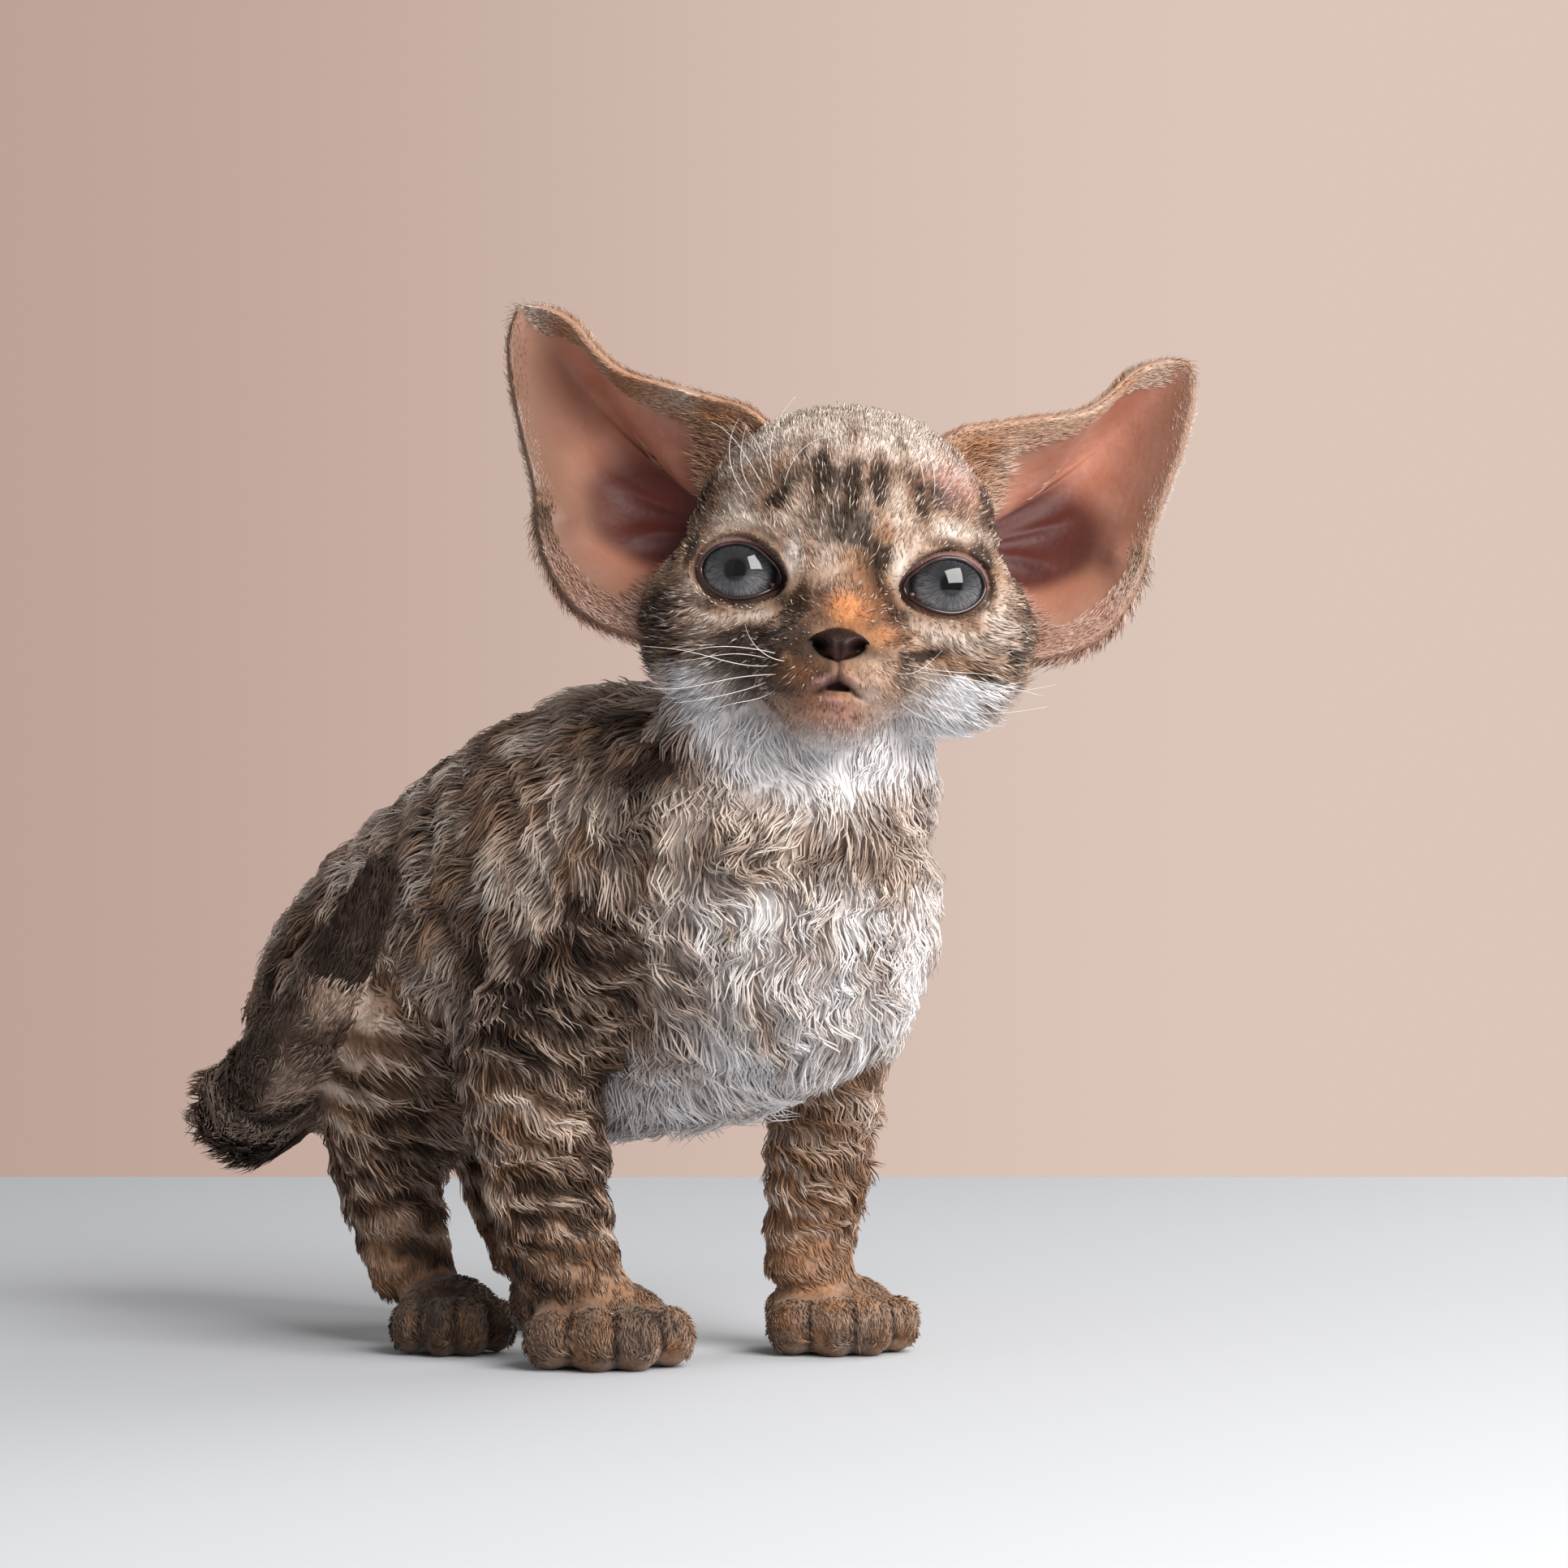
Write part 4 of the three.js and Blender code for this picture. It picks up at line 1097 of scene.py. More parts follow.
# Fur of the ears after that of their backs: how many tufts, where they start and end along the rim, how far
# in from the rim they begin, how far in they reach there and more for each step along it, how they crowd to
# the rim, the face, how much they lean to the ear's tip and beyond that, how far outwards they are combed,
# and their length, height and width
EAR_FUR = [
    (2600, 0.04, 0.98, 1, 0.09, 0, 1.8, 1, 1, 0, 0.012, 1.5, 0.25, 0.16),
    (2000, 0.02, 0.45, 1, 0.13, 0, 1.4, 1, 1, 0, 0.004, 2.6, 0.55, 0.22),
    (2000, 0.03, 0.97, 0.985, -0.015, 0, 1, -1, 0.7, 0, -0.02, 2.2, 1.3, 0.13),
    (1000, 0.72, 1.0, 0.8, -0.2, 0, 1, -1, 0, 0.03, 0.05, 4.6, 1.4, 0.26),
    (1600, 0.0, 0.24, 1, 0.46, -1.4, 1.2, 1, 1, 0, 0.03, 3.4, 0.6, 0.27),
    (900, 0.74, 1.0, 1, 0.05, 0.9, 1.6, 1, 1, 0, 0.03, 2.6, 0.8, 0.17),
    (900, 0.0, 0.14, 0.1, -0.8, 0, 1, 1, 0, 0.05, 0.03, 4.6, 1.4, 0.22),
    (500, 0.95, 1.0, 0.1, -0.75, 0, 1, 1, 0, -0.04, 0.03, 4.0, 1.2, 0.2),
    (70, 0.42, 0.49, 0.96, -0.04, 0, 1, -1, 0, 0.02, 0.02, 3.2, 0.1, 0.15),
]
EAR_BACK_TUFTS = 4400


def ear_sheet(t, r):
    """The middle of the ear's skin: t along the rim, r from the root to the rim."""
    root = EAR_ROOT + EAR_SINK * ((1 - r) ** 3)[..., None]
    p = root + (smooth_through(EAR_RIM, t) - root) * (0.12 + 0.88 * r)[..., None]
    hollow = EAR_HOLLOW * np.sin(math.pi * r ** 0.85) * (0.35 + 0.65 * np.sin(math.pi * t))
    return p + hollow[..., None] * np.array([0, 1.0, 0])


def ear_folds(t, r):
    """How far the inside of the ear stands out: ridges from its root, and the pocket at its outer edge."""
    ridge = 0
    for middle, wide, high in EAR_RIDGES:
        bend = middle + 0.05 * np.sin(3 * r)
        ridge = ridge + high * bell((t - bend) / wide) * bell((r - 0.32) / 0.2)
    pocket = 1.5 * bell((t - 0.745) / 0.03) * bell((r - 0.86) / 0.1)
    pouch = 1.1 * bell((t - 0.86) / 0.08) * bell((r - 0.7) / 0.22)
    return ridge + pocket + pouch


def ear_surface(sign, scale, t, r, face):
    """A point on the inside (face 1) or the outside (face -1) of an ear, and its normal."""
    step = 0.004
    middle = ear_sheet(t, r)
    across_t = ear_sheet(np.minimum(t + step, 1), r) - ear_sheet(np.maximum(t - step, 0), r)
    across_r = ear_sheet(t, np.minimum(r + step, 1)) - ear_sheet(t, np.maximum(r - step, 0.0))
    normal = unit(np.cross(across_t, across_r))
    normal = normal * np.where(normal[..., 1:2] > 0, -1, 1)
    thick = EAR_SKIN_THICK[0] + (EAR_SKIN_THICK[1] - EAR_SKIN_THICK[0]) * r
    lift = thick / 2 * face
    if face > 0:
        lift = lift + ear_folds(t, r)
    p = middle + normal * lift[..., None]
    p = (p - EAR_ROOT) * scale + EAR_ROOT
    mirror = np.array([sign, 1, 1])
    return head_to_body(p * mirror), (normal * face * mirror) @ HEAD_TURN.T


def ear_masks(t, r, inside, dusk):
    """Rim, depth and fur masks of the ear's skin; dusk is how brown its outer edge is."""
    rim = step_between(0.94, 1.0, r)
    top_edge = step_between(0.48, 0.36, t) * step_between(0.8 - 0.5 * step_between(0.3, 0.1, t), 0.98, r)
    reach = 0.42 + 0.4 * bell((t - 0.72) / 0.13)
    # Painted shade in the hollow at the root of the ear, over its redder skin there
    deep = step_between(reach + 0.12, reach - 0.3, r) * (0.5 + 0.5 * step_between(0.3, 0.6, t))
    furry = np.maximum(rim, 0.85 * top_edge) if inside else np.ones_like(r)
    lower = step_between(0.8, 0.96, t) * step_between(0.4, 0.9, r)
    dusky = 0.35 * step_between(0.3, 0.7, r) + 0.65 * step_between(0.55, 0.9, r)
    grey = step_between(0.4, 0.54, t) * dusky
    lobe = step_between(0.72, 0.84, t) * step_between(0.95, 0.6, r) * step_between(0.15, 0.4, r)
    back = 0 * r if inside else 1 + 0 * r
    return {"deep": deep * (1 - back), "furry": np.maximum(furry, 0.5 * lower if inside else 0),
            "grey": dusk * grey, "lobe": 0.7 * lobe * (1 - back), "back": back}


def make_ear(side, material):
    sign, scale = SIDES[side], EAR_SCALE[side]
    columns, rows = EAR_GRID
    t, r = np.meshgrid(np.linspace(0, 1, columns), np.linspace(0, 1, rows), indexing="ij")
    front, _ = ear_surface(sign, scale, t, r, 1)
    back, _ = ear_surface(sign, scale, t, r, -1)
    ring_t = np.concatenate([t, t[:, ::-1]], 1)
    ring_r = np.concatenate([r, r[:, ::-1]], 1)
    ring = np.concatenate([front, back[:, ::-1]], 1)
    loops = grid_faces(columns, 2 * rows)
    points = ring.reshape(-1, 3)
    ends = []
    for row in (0, columns - 1):
        for j in range(rows - 1):
            a, b = row * 2 * rows + j, row * 2 * rows + j + 1
            c, d = row * 2 * rows + 2 * rows - 2 - j, row * 2 * rows + 2 * rows - 1 - j
            ends.append((a, b, c, d) if row else (d, c, b, a))
    faces = np.concatenate([loops, np.array(ends)])
    inside = ear_masks(ring_t, ring_r, True, EAR_DUSK[side])
    outside = ear_masks(ring_t, ring_r, False, EAR_DUSK[side])
    is_front = np.concatenate([np.ones_like(t), np.zeros_like(t)], 1)
    masks = {
        label: (inside[label] * is_front + outside[label] * (1 - is_front)).ravel() for label in inside
    }
    if sign > 0:
        faces = faces[:, ::-1]
    obj = piece(f"ear_skin_{side}", points, faces, material, "ear_skin", masks)
    face_outwards(obj)
    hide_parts(f"ear_{side}")


def ear_fur_set(sign, scale, t, r, face, lean, outward, length, rise, width, rng):
    """Tufts at places t and r of an ear's face, combed along the rim by lean and towards it by outward."""
    count = len(t)
    root, normal = ear_surface(sign, scale, t, r, face)
    ahead, _ = ear_surface(sign, scale, np.clip(t + lean, 0, 1), np.clip(r + outward, 0, 1.0), face)
    behind, _ = ear_surface(sign, scale, np.clip(t - lean, 0, 1), np.clip(r - outward, 0, 1.0), face)
    way = ahead - behind
    flow = unit(way + rng.normal(0, 0.12, (count, 3)) * np.linalg.norm(way, axis=1, keepdims=True))
    return {
        "root": root, "normal": normal, "flow": unit(flow - normal * dot(flow, normal)[:, None]),
        "t": t, "r": r, "length": length * rng.uniform(0.7, 1.25, count),
        "rise": rise * rng.uniform(0.6, 1.3, count), "width": np.full(count, width),
        "inside": np.full(count, float(face > 0)),
    }


def lean_to_tip(t):
    return 0.03 * np.tanh((EAR_TIP - t) / 0.06)


def ear_tufts(side, material, rng):
    """Short fur behind the ear and on its rim, combed to its tip, and longer hair inside its front edge."""
    ear = SIDES[side], EAR_SCALE[side]
    t, r = rng.random(EAR_BACK_TUFTS), rng.random(EAR_BACK_TUFTS) ** 0.6 * 0.985
    rim = step_between(0.75, 0.97, r)
    sets = [ear_fur_set(*ear, t, r, -1, lean_to_tip(t) * (0.35 + rim), 0.05 * (1 - rim),
                        2.7 - 0.9 * rim, 0.45 - 0.25 * rim, 0.4, rng)]
    for (count, start, end, edge, reach, widening, crowding, face, to_tip, beyond, outward,
         length, rise, width) in EAR_FUR:
        t = rng.uniform(start, end, count)
        r = edge - (reach + widening * (t - start)) * rng.random(count) ** crowding
        sets.append(ear_fur_set(*ear, t, r, face, to_tip * lean_to_tip(t) + beyond, outward,
                                length, rise, width, rng))
    tuft = {label: np.concatenate([each[label] for each in sets]) for label in sets[0]}
    count = len(tuft["root"])
    tuft.update({
        "wave": 0.16 * rng.uniform(0.5, 1.5, count), "wavelength": np.full(count, 4.0),
        "phase": rng.uniform(0, 6.28, count), "bend": rng.normal(0, 0.12, count),
    })
    t, inside = tuft["t"], tuft["inside"]
    fine = noise(tuft["root"], 5, 11)
    fringe = step_between(0.24, 0.34, t) * step_between(0.52, 0.44, t) * (1 - inside)
    lower = step_between(0.5, 0.8, t)
    outer = step_between(0.42, 0.5, t) * step_between(0.86, 0.74, t)
    lobe = step_between(0.74, 0.86, t)
    upper = step_between(0.5, 0.3, t)
    dark = 0.25 * fine + EAR_FRINGE[side] * fringe + 0.6 * EAR_DUSK[side] * outer * inside
    pale = 0.62 - 0.22 * upper - 0.45 * fine - 0.5 * outer * inside - 0.4 * lobe
    masks = {
        "dark": np.clip(dark, 0, 1), "pale": np.clip(pale, 0, 1),
        "rust": np.clip(0.1 + 0.3 * upper + 0.2 * fine, 0, 1) * (1 - lower),
        "tan": np.clip(1 - 0.2 * lower, 0, 1), "white": 0 * fine, "bare": 0.4 * lobe,
        "tone": rng.uniform(0.5, 1, count),
    }
    uv = np.stack([t, 0.5 * tuft["r"] + 0.5 * inside], -1)
    tuft_mesh(f"ear_fur_{side}", tuft, EAR_FUR_RINGS, material, masks, uv)


# Eyes
def make_eye(side, material):
    """An eyeball whose values say how far each place is from the line of sight, and which way."""
    sign, columns = SIDES[side], 72
    polar = np.concatenate([np.linspace(0, 1.15, 46), np.linspace(1.2, math.pi, 22)])
    bulge = 1 + 0.035 * bell(polar / 0.5)
    own = np.stack(ball_rays(polar, columns), -1) * bulge[:, None, None] * EYE_RADIUS * 0.985
    around = np.tile(circle(columns), len(polar))
    masks = {"gaze": np.repeat(polar, columns), "around_x": np.cos(around), "around_z": np.sin(around)}
    faces = grid_faces(len(polar), columns)
    obj = piece(f"eyeball_{side}", from_eye(own, sign), faces, material, "eye", masks)
    face_outwards(obj, poles=True)
    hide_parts(f"eye_{side}")


LID_RIM = (0.36, 0.32)


def make_lid_rim(side, material):
    """The bare, moist edge of the two lids, lying on the eyeball."""
    sign = SIDES[side]
    count, sides = 120, 10
    u, v = np.cos(circle(count)) * LID_HALF[0], np.sin(circle(count)) * LID_HALF[1]
    for _ in range(12):
        reach = almond(sign, u, v)
        u, v = u / reach, v / reach
    u, v = u * 1.02, v * 1.02
    line = np.stack([u, np.sqrt(EYE_RADIUS ** 2 - u * u - v * v) + 0.3, v], -1)
    forward = unit(np.roll(line, -1, 0) - np.roll(line, 1, 0))
    out = unit(line)
    across = np.cross(forward, out)
    angle = circle(sides)[None, :, None]
    ring = across[:, None] * np.cos(angle) * LID_RIM[0] + out[:, None] * np.sin(angle) * LID_RIM[1]
    faces = grid_faces(count + 1, sides) % (count * sides)
    upper = np.repeat(step_between(-1, 2.5, v), sides)
    points = from_eye(line[:, None] + ring, sign)
    obj = piece(f"eyelid_rim_{side}", points, faces, material, "nose_leather", {"upper": upper})
    face_outwards(obj)


def make_tear_corner(side, material):
    """The small pink fold in the inner corner of the eye."""
    sign = SIDES[side]
    u, v = -sign * LID_HALF[0] * 0.93, -1.9
    centre = np.array([u, math.sqrt(EYE_RADIUS ** 2 - u * u - v * v) + 0.15, v])
    sides, stations = 16, 10
    points = from_eye(ball_grid(centre, (0.5, 0.35, 0.4), sides, stations), sign)
    obj = piece(f"tear_corner_{side}", points, grid_faces(stations + 1, sides), material, "nose_leather",
                {"upper": np.ones(len(points))})
    face_outwards(obj, poles=True)


# Nose
def make_nose(material):
    """Nose leather: broadest above its middle, drawn in below, with a curved nostril on each side."""
    stations, sides = 70, 96
    x, y, z = ball_rays(np.linspace(0, math.pi, stations + 1), sides)
    y = -y
    broad = np.interp(z, [-1, -0.65, -0.25, 0.2, 0.6, 1], [0.3, 0.4, 0.86, 1.1, 1.05, 0.9])
    p = np.stack([x * NOSE_HALF[0] * broad, y * NOSE_HALF[1], z * NOSE_HALF[2]], -1)
    front = step_between(0.1, -0.4, y)
    for sign in (1, -1):
        across, up = p[..., 0] * sign - 3.0, p[..., 2] + 0.35
        hole = bell(np.hypot(across / 1.3, (up - 0.25 * across) / 0.85))
        slit = bell(np.hypot((across - 1.3) / 1.1, (up - 0.35) / 0.45))
        p[..., 1] += (2.6 * hole + 1.5 * slit) * front
        p[..., 1] -= 0.4 * bell(np.hypot((across + 1.7) / 0.8, (up + 0.3) / 1.2)) * front
        p[..., 2] += 0.25 * bell(np.hypot((across - 0.4) / 1.6, (up - 1.1) / 0.6)) * front
    p[..., 1] += 0.55 * bell(p[..., 0] / 0.45) * step_between(0.6, -1.4, p[..., 2]) * front
    # Where painted shade darkens the nostrils
    inside = np.maximum(
        bell(np.hypot((np.abs(p[..., 0]) - 3.0) / 1.25, (p[..., 2] + 0.35) / 0.8)),
        0.8 * bell(np.hypot((np.abs(p[..., 0]) - 4.2) / 0.9, (p[..., 2] - 0.1) / 0.4))) * front
    low = step_between(0.5, -2.2, p[..., 2])
    points = head_to_body(p.reshape(-1, 3) + NOSE_CENTRE)
    obj = piece("nose_leather", points, grid_faces(stations + 1, sides), material, "nose_leather",
                {"hollow": inside.ravel(), "low": low.ravel()})
    face_outwards(obj, poles=True)
    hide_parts("nose")


# Whiskers: root across and up the face, way it sets off, length, curl and droop
WHISKERS = [
    (-9.0, -16.5, (-1.0, -0.35, 0.12), 17, 0.3), (-9.8, -18.2, (-1.0, -0.25, -0.1), 22, -0.2),
    (-8.6, -19.6, (-1.0, -0.3, -0.3), 24, -0.25), (-10.2, -20.4, (-0.9, -0.3, -0.5), 17, -0.3),
    (-7.6, -17.6, (-0.9, -0.6, -0.05), 11, -0.9), (-10.6, -17.2, (-1.0, -0.1, 0.02), 15, 0.15),
    (-9.2, -21.6, (-0.8, -0.2, -0.6), 12, -0.3),
    (9.6, -16.5, (1.0, -0.35, 0.05), 20, -0.3), (10.4, -18.2, (1.0, -0.2, -0.12), 25, 0.2),
    (9.2, -19.8, (1.0, -0.3, -0.3), 26, 0.3), (10.8, -20.6, (0.9, -0.3, -0.45), 18, 0.3),
    (8.2, -17.8, (0.8, -0.6, -0.2), 11, 0.8), (11.2, -17.4, (1.0, -0.1, -0.05), 22, -0.1),
    (9.8, -22.0, (0.75, -0.2, -0.65), 12, 0.4),
    (-13.2, 9.8, (-0.35, -0.5, 0.9), 16, 0.55), (-11.8, 10.6, (-0.2, -0.5, 0.95), 17, -0.5),
    (-14.6, 9.2, (-0.6, -0.4, 0.8), 13, -0.6), (-10.6, 10.2, (0.1, -0.5, 1.0), 14, -0.9),
    (-12.4, 11.2, (-0.25, -0.5, 1.0), 12, 0.4), (-15.6, 8.4, (-0.7, -0.4, 0.75), 15, -0.8),
    (13.4, 10.6, (0.15, -0.5, 0.95), 12, 0.5), (14.6, 10.2, (0.4, -0.4, 0.9), 11, -0.5),
    (12.4, 11.0, (-0.15, -0.5, 1.0), 13, 0.6), (22.4, -7.5, (1.0, -0.2, 0.05), 9, -0.6),
]
WHISKER_RADIUS = 0.07


def make_whiskers(material, rng):
    """Fine tapering tubes, each on a curve of its own."""
    parts, tips, places, withins = [], [], [], []
    steps, sides = 22, 6
    s = np.linspace(0, 1, steps)
    corner = circle(sides)
    for across, up, way, length, curl in WHISKERS:
        root = on_face(across, up, -1.6)
        forward = unit(np.array(way))
        bend = unit(np.cross(forward, np.array([0, 1.0, 0])))
        angle = curl * 1.5 * s ** 1.4 + 0.12 * rng.normal() * np.sin(5 * s + rng.uniform(0, 6))
        step = forward[None] * np.cos(angle)[:, None] + bend[None] * np.sin(angle)[:, None]
        line = root + np.cumsum(step, 0) * length / steps
        line[:, 1] += 0.12 * length * s ** 2
        radius = (WHISKER_RADIUS * (1 - 0.8 * s))[:, None, None]
        tangent = unit(np.gradient(line, axis=0))
        side = unit(np.cross(tangent, np.array([0.2, 1.0, 0.1])))
        other = np.cross(tangent, side)
        ring = side[:, None] * np.cos(corner)[:, None] + other[:, None] * np.sin(corner)[:, None]
        points = np.concatenate([(line[:, None] + ring * radius).reshape(-1, 3), line[:1], line[-1:]])
        last = len(points) - 1
        tube = grid_faces(steps, sides)
        k = np.arange(sides)
        start = (steps - 1) * sides
        cap = np.stack([np.full(sides, last - 1), (k + 1) % sides, k], -1)
        end = np.stack([np.full(sides, last), start + k, start + (k + 1) % sides], -1)
        faces = np.concatenate([tube[:, [0, 1, 2]], tube[:, [0, 2, 3]], cap, end])
        parts.append((head_to_body(points), faces))
        tips.append(np.concatenate([np.repeat(s, sides), [0, 1]]))
        out = unit(root)
        places.append(np.tile([turns(out[0], -out[1]), math.acos(out[2]) / math.pi], (len(points), 1)))
        aside = np.concatenate([np.tile(np.cos(corner), steps), [0, 0]])
        withins.append(np.stack([aside, tips[-1] * 2 - 1], -1))
    obj = piece("whiskers", *combined(parts), material, "coat", {"tip": np.concatenate(tips)})
    face_outwards(obj)
    set_map(obj, np.concatenate(places), np.concatenate(withins))


# Coat over the skin
RINGS = {
    "torso": 4, "neck": 4, "foreleg": 4, "hindleg": 4, "tail": 3, "forepaw": 2, "hindpaw": 2, "head": 2,
}
TUFTS_IN_LOCK = {"head": 6, "forepaw": 5, "hindpaw": 5}
LOCK_PULL = {"head": 0.2, "forepaw": 0.12, "hindpaw": 0.12, "tail": 0.3}
SHORT_COATS = ("head", "forepaw", "hindpaw")
TICKED_SHARE = 0.15
MOST_TRIANGLES = 190000
COAT_THICKNESS = 0.96


def coat_room(points, normals, local, tail):
    """How many tufts each place carries and how long they are, as shares of the full coat.

    There are none on eyes, nose leather, open lips and soles.
    """
    room = np.ones(len(points))
    front = local[:, 1] < -6
    short = np.ones(len(points))
    for sign in (1, -1):
        own, rho = seen_from_eye(local, sign)
        before = own[:, 1] > 0
        room *= np.where(before, step_between(1.03, 1.13, rho), 1)
        short *= np.where(before, 0.4 + 0.6 * step_between(1.1, 2.1, rho), 1)
    nose = np.linalg.norm((local - NOSE_CENTRE)[:, [0, 2]] / (NOSE_HALF[[0, 2]] + 0.3), axis=1)
    room *= np.where(front & (local[:, 1] < -18), step_between(0.88, 1.08, nose), 1)
    short *= np.where(front, 0.35 + 0.65 * step_between(1.0, 2.6, nose), 1)
    lips = distance_to_line(local[:, 0], local[:, 2], MOUTH_LINE)
    room *= np.where(front, 0.25 + 0.75 * step_between(0.3, 1.1, lips), 1)
    opening = (local[:, 2] < -20.2) & (local[:, 2] > -22.2)
    room[(np.abs(local[:, 0] - MOUTH_MIDDLE) < 2.5) & opening & front] = 0
    short *= np.where(front, 0.5 + 0.5 * step_between(0.4, 3.0, lips), 1)
    beside_tail = step_between(1.5, 9, np.abs(TAIL.nearest(points)[0])) * ~tail + tail
    short *= 0.3 + 0.7 * beside_tail
    room *= 0.55 + 0.45 * beside_tail
    room *= 1 - 0.75 * marked(local, BARE_MARKS)
    room *= 1 - step_between(-0.35, -0.75, normals[:, 2]) * step_between(4, 1.5, points[:, 2])
    return room, short


def grow_coat(points, faces, material, rng):
    """The whole coat, as pieces of one region each."""
    edges = edges_of(faces)
    normals = point_normals(points, faces)
    region, _, _ = region_map(points)
    local = body_to_head(points)
    flow = relaxed(lie_of_coat(points, normals, region), edges, 16)
    flow = unit(flow - normals * dot(flow, normals)[:, None])
    fields = coat_fields(points, region, local, edges)
    room, short = coat_room(points, normals, local, region == REGIONS.index("tail"))
    for label in ("length", "rise", "wave"):
        fields[label] = fields[label] * short
    face, shares = scattered(points, faces, fields["density"] * room * COAT_THICKNESS, rng)
    roots = spread(points, faces, face, shares)
    root_region, root_along, root_round = region_map(roots)
    ground = {
        "root": roots, "normal": unit(spread(normals, faces, face, shares)),
        "flow": unit(spread(flow, faces, face, shares)),
    }
    for label in ("length", "rise", "width", "wave", "wavelength"):
        ground[label] = spread(fields[label], faces, face, shares)
    middle = roots + ground["flow"] * (0.45 * ground["length"])[:, None]
    colours = coat_marks(middle, root_region, root_along)
    ticked = (rng.random(len(roots)) < TICKED_SHARE) & (root_region == REGIONS.index("head"))
    colours["pale"] = np.where(ticked, np.maximum(colours["pale"], 0.8), colours["pale"])
    colours["dark"] = np.where(ticked, colours["dark"] * 0.3, colours["dark"])
    for index, name in enumerate(REGIONS):
        kind = name.split("_")[0]
        own = np.nonzero(root_region == index)[0]
        own = own[np.argsort(root_along[own], kind="stable")]
        each = 6 * RINGS[kind] - 2
        piece_count = max(1, math.ceil(len(own) * each / MOST_TRIANGLES))
        for number, chosen in enumerate(np.array_split(own, piece_count)):
            tuft = {label: values[chosen].copy() for label, values in ground.items()}
            count = len(chosen)
            heart = grouped(tuft["root"], TUFTS_IN_LOCK.get(kind, 10), rng)
            lock = {label: rng.random(count)[heart] for label in ("phase", "bend", "size", "tone")}
            tuft["heart"] = heart
            tuft["phase"] = 0.9 * (lock["phase"] * 2 - 1) + rng.normal(0, 0.3, count)
            bend = 0.15 if kind in SHORT_COATS else 0.22
            tuft["bend"] = bend * (lock["bend"] * 2 - 1) + rng.normal(0, 0.1, count)
            tuft["length"] *= (0.8 + 0.4 * lock["size"]) * rng.uniform(0.75, 1.15, count)
            tuft["rise"] *= (0.65 + 0.7 * lock["size"]) * rng.uniform(0.7, 1.2, count)
            tuft["width"] *= rng.uniform(0.75, 1.2, count)
            shade = {label: values[chosen] for label, values in colours.items()}
            shade["tone"] = 0.55 * lock["tone"] + 0.45 * rng.random(count)
            uv = np.stack([root_round[chosen], root_along[chosen]], -1)
            label = f"coat_{name}" + (f"_{number + 1}" if piece_count > 1 else "")
            tuft_mesh(label, tuft, RINGS[kind], material, shade, uv, kind, LOCK_PULL.get(kind, 0.4))


# Materials
TABBY = {
    "mid": (0.38, 0.25, 0.18), "tan": (0.4, 0.205, 0.1), "dark": (0.034, 0.017, 0.01),
    "pale": (0.78, 0.68, 0.6), "rust": (0.6, 0.24, 0.09), "white": (0.93, 0.91, 0.92),
    "bare": (0.58, 0.31, 0.28),
}
MARKS = ("tan", "dark", "pale", "rust", "white", "bare")
COLOURS = {
    "hair_tip_and_crest_light": (0.9, 0.77, 0.65), "hair_shadow": (0.34, 0.27, 0.23),
    "down_shadow": (0.55, 0.5, 0.47), "mouth": (0.03, 0.009, 0.008), "ear_red": (0.45, 0.185, 0.12),
    "ear_pink": (0.53, 0.26, 0.18), "ear_lobe": (0.4, 0.16, 0.09), "ear_hollow_shade": (0.07, 0.01, 0.006),
    "ear_vein": (0.42, 0.1, 0.09), "ear_down": (0.5, 0.33, 0.25), "ear_back": (0.36, 0.22, 0.15),
    "ear_dusk": (0.2, 0.105, 0.07), "nose": (0.024, 0.009, 0.006),
    "nose_furrow_shade": (0.01, 0.004, 0.003), "nose_below": (0.07, 0.026, 0.018),
    "nostril": (0.004, 0.0015, 0.0012), "lid_dark": (0.012, 0.006, 0.006),
    "lid_brown": (0.04, 0.018, 0.017), "lid_pink": (0.16, 0.07, 0.07),
    "iris_dark": (0.055, 0.055, 0.06), "iris_light": (0.175, 0.172, 0.18),
    "iris_heart": (0.03, 0.032, 0.038), "iris_shade": (0.012, 0.012, 0.014),
    "iris_ring": (0.012, 0.012, 0.015), "eye_white": (0.11, 0.075, 0.07),
    "pupil": (0.001, 0.001, 0.001), "whisker_root": (0.62, 0.52, 0.46), "whisker": (0.96, 0.94, 0.93),
}
SHEEN_ROUGHNESS = 0.45
WET_ROUGHNESS = 0.04


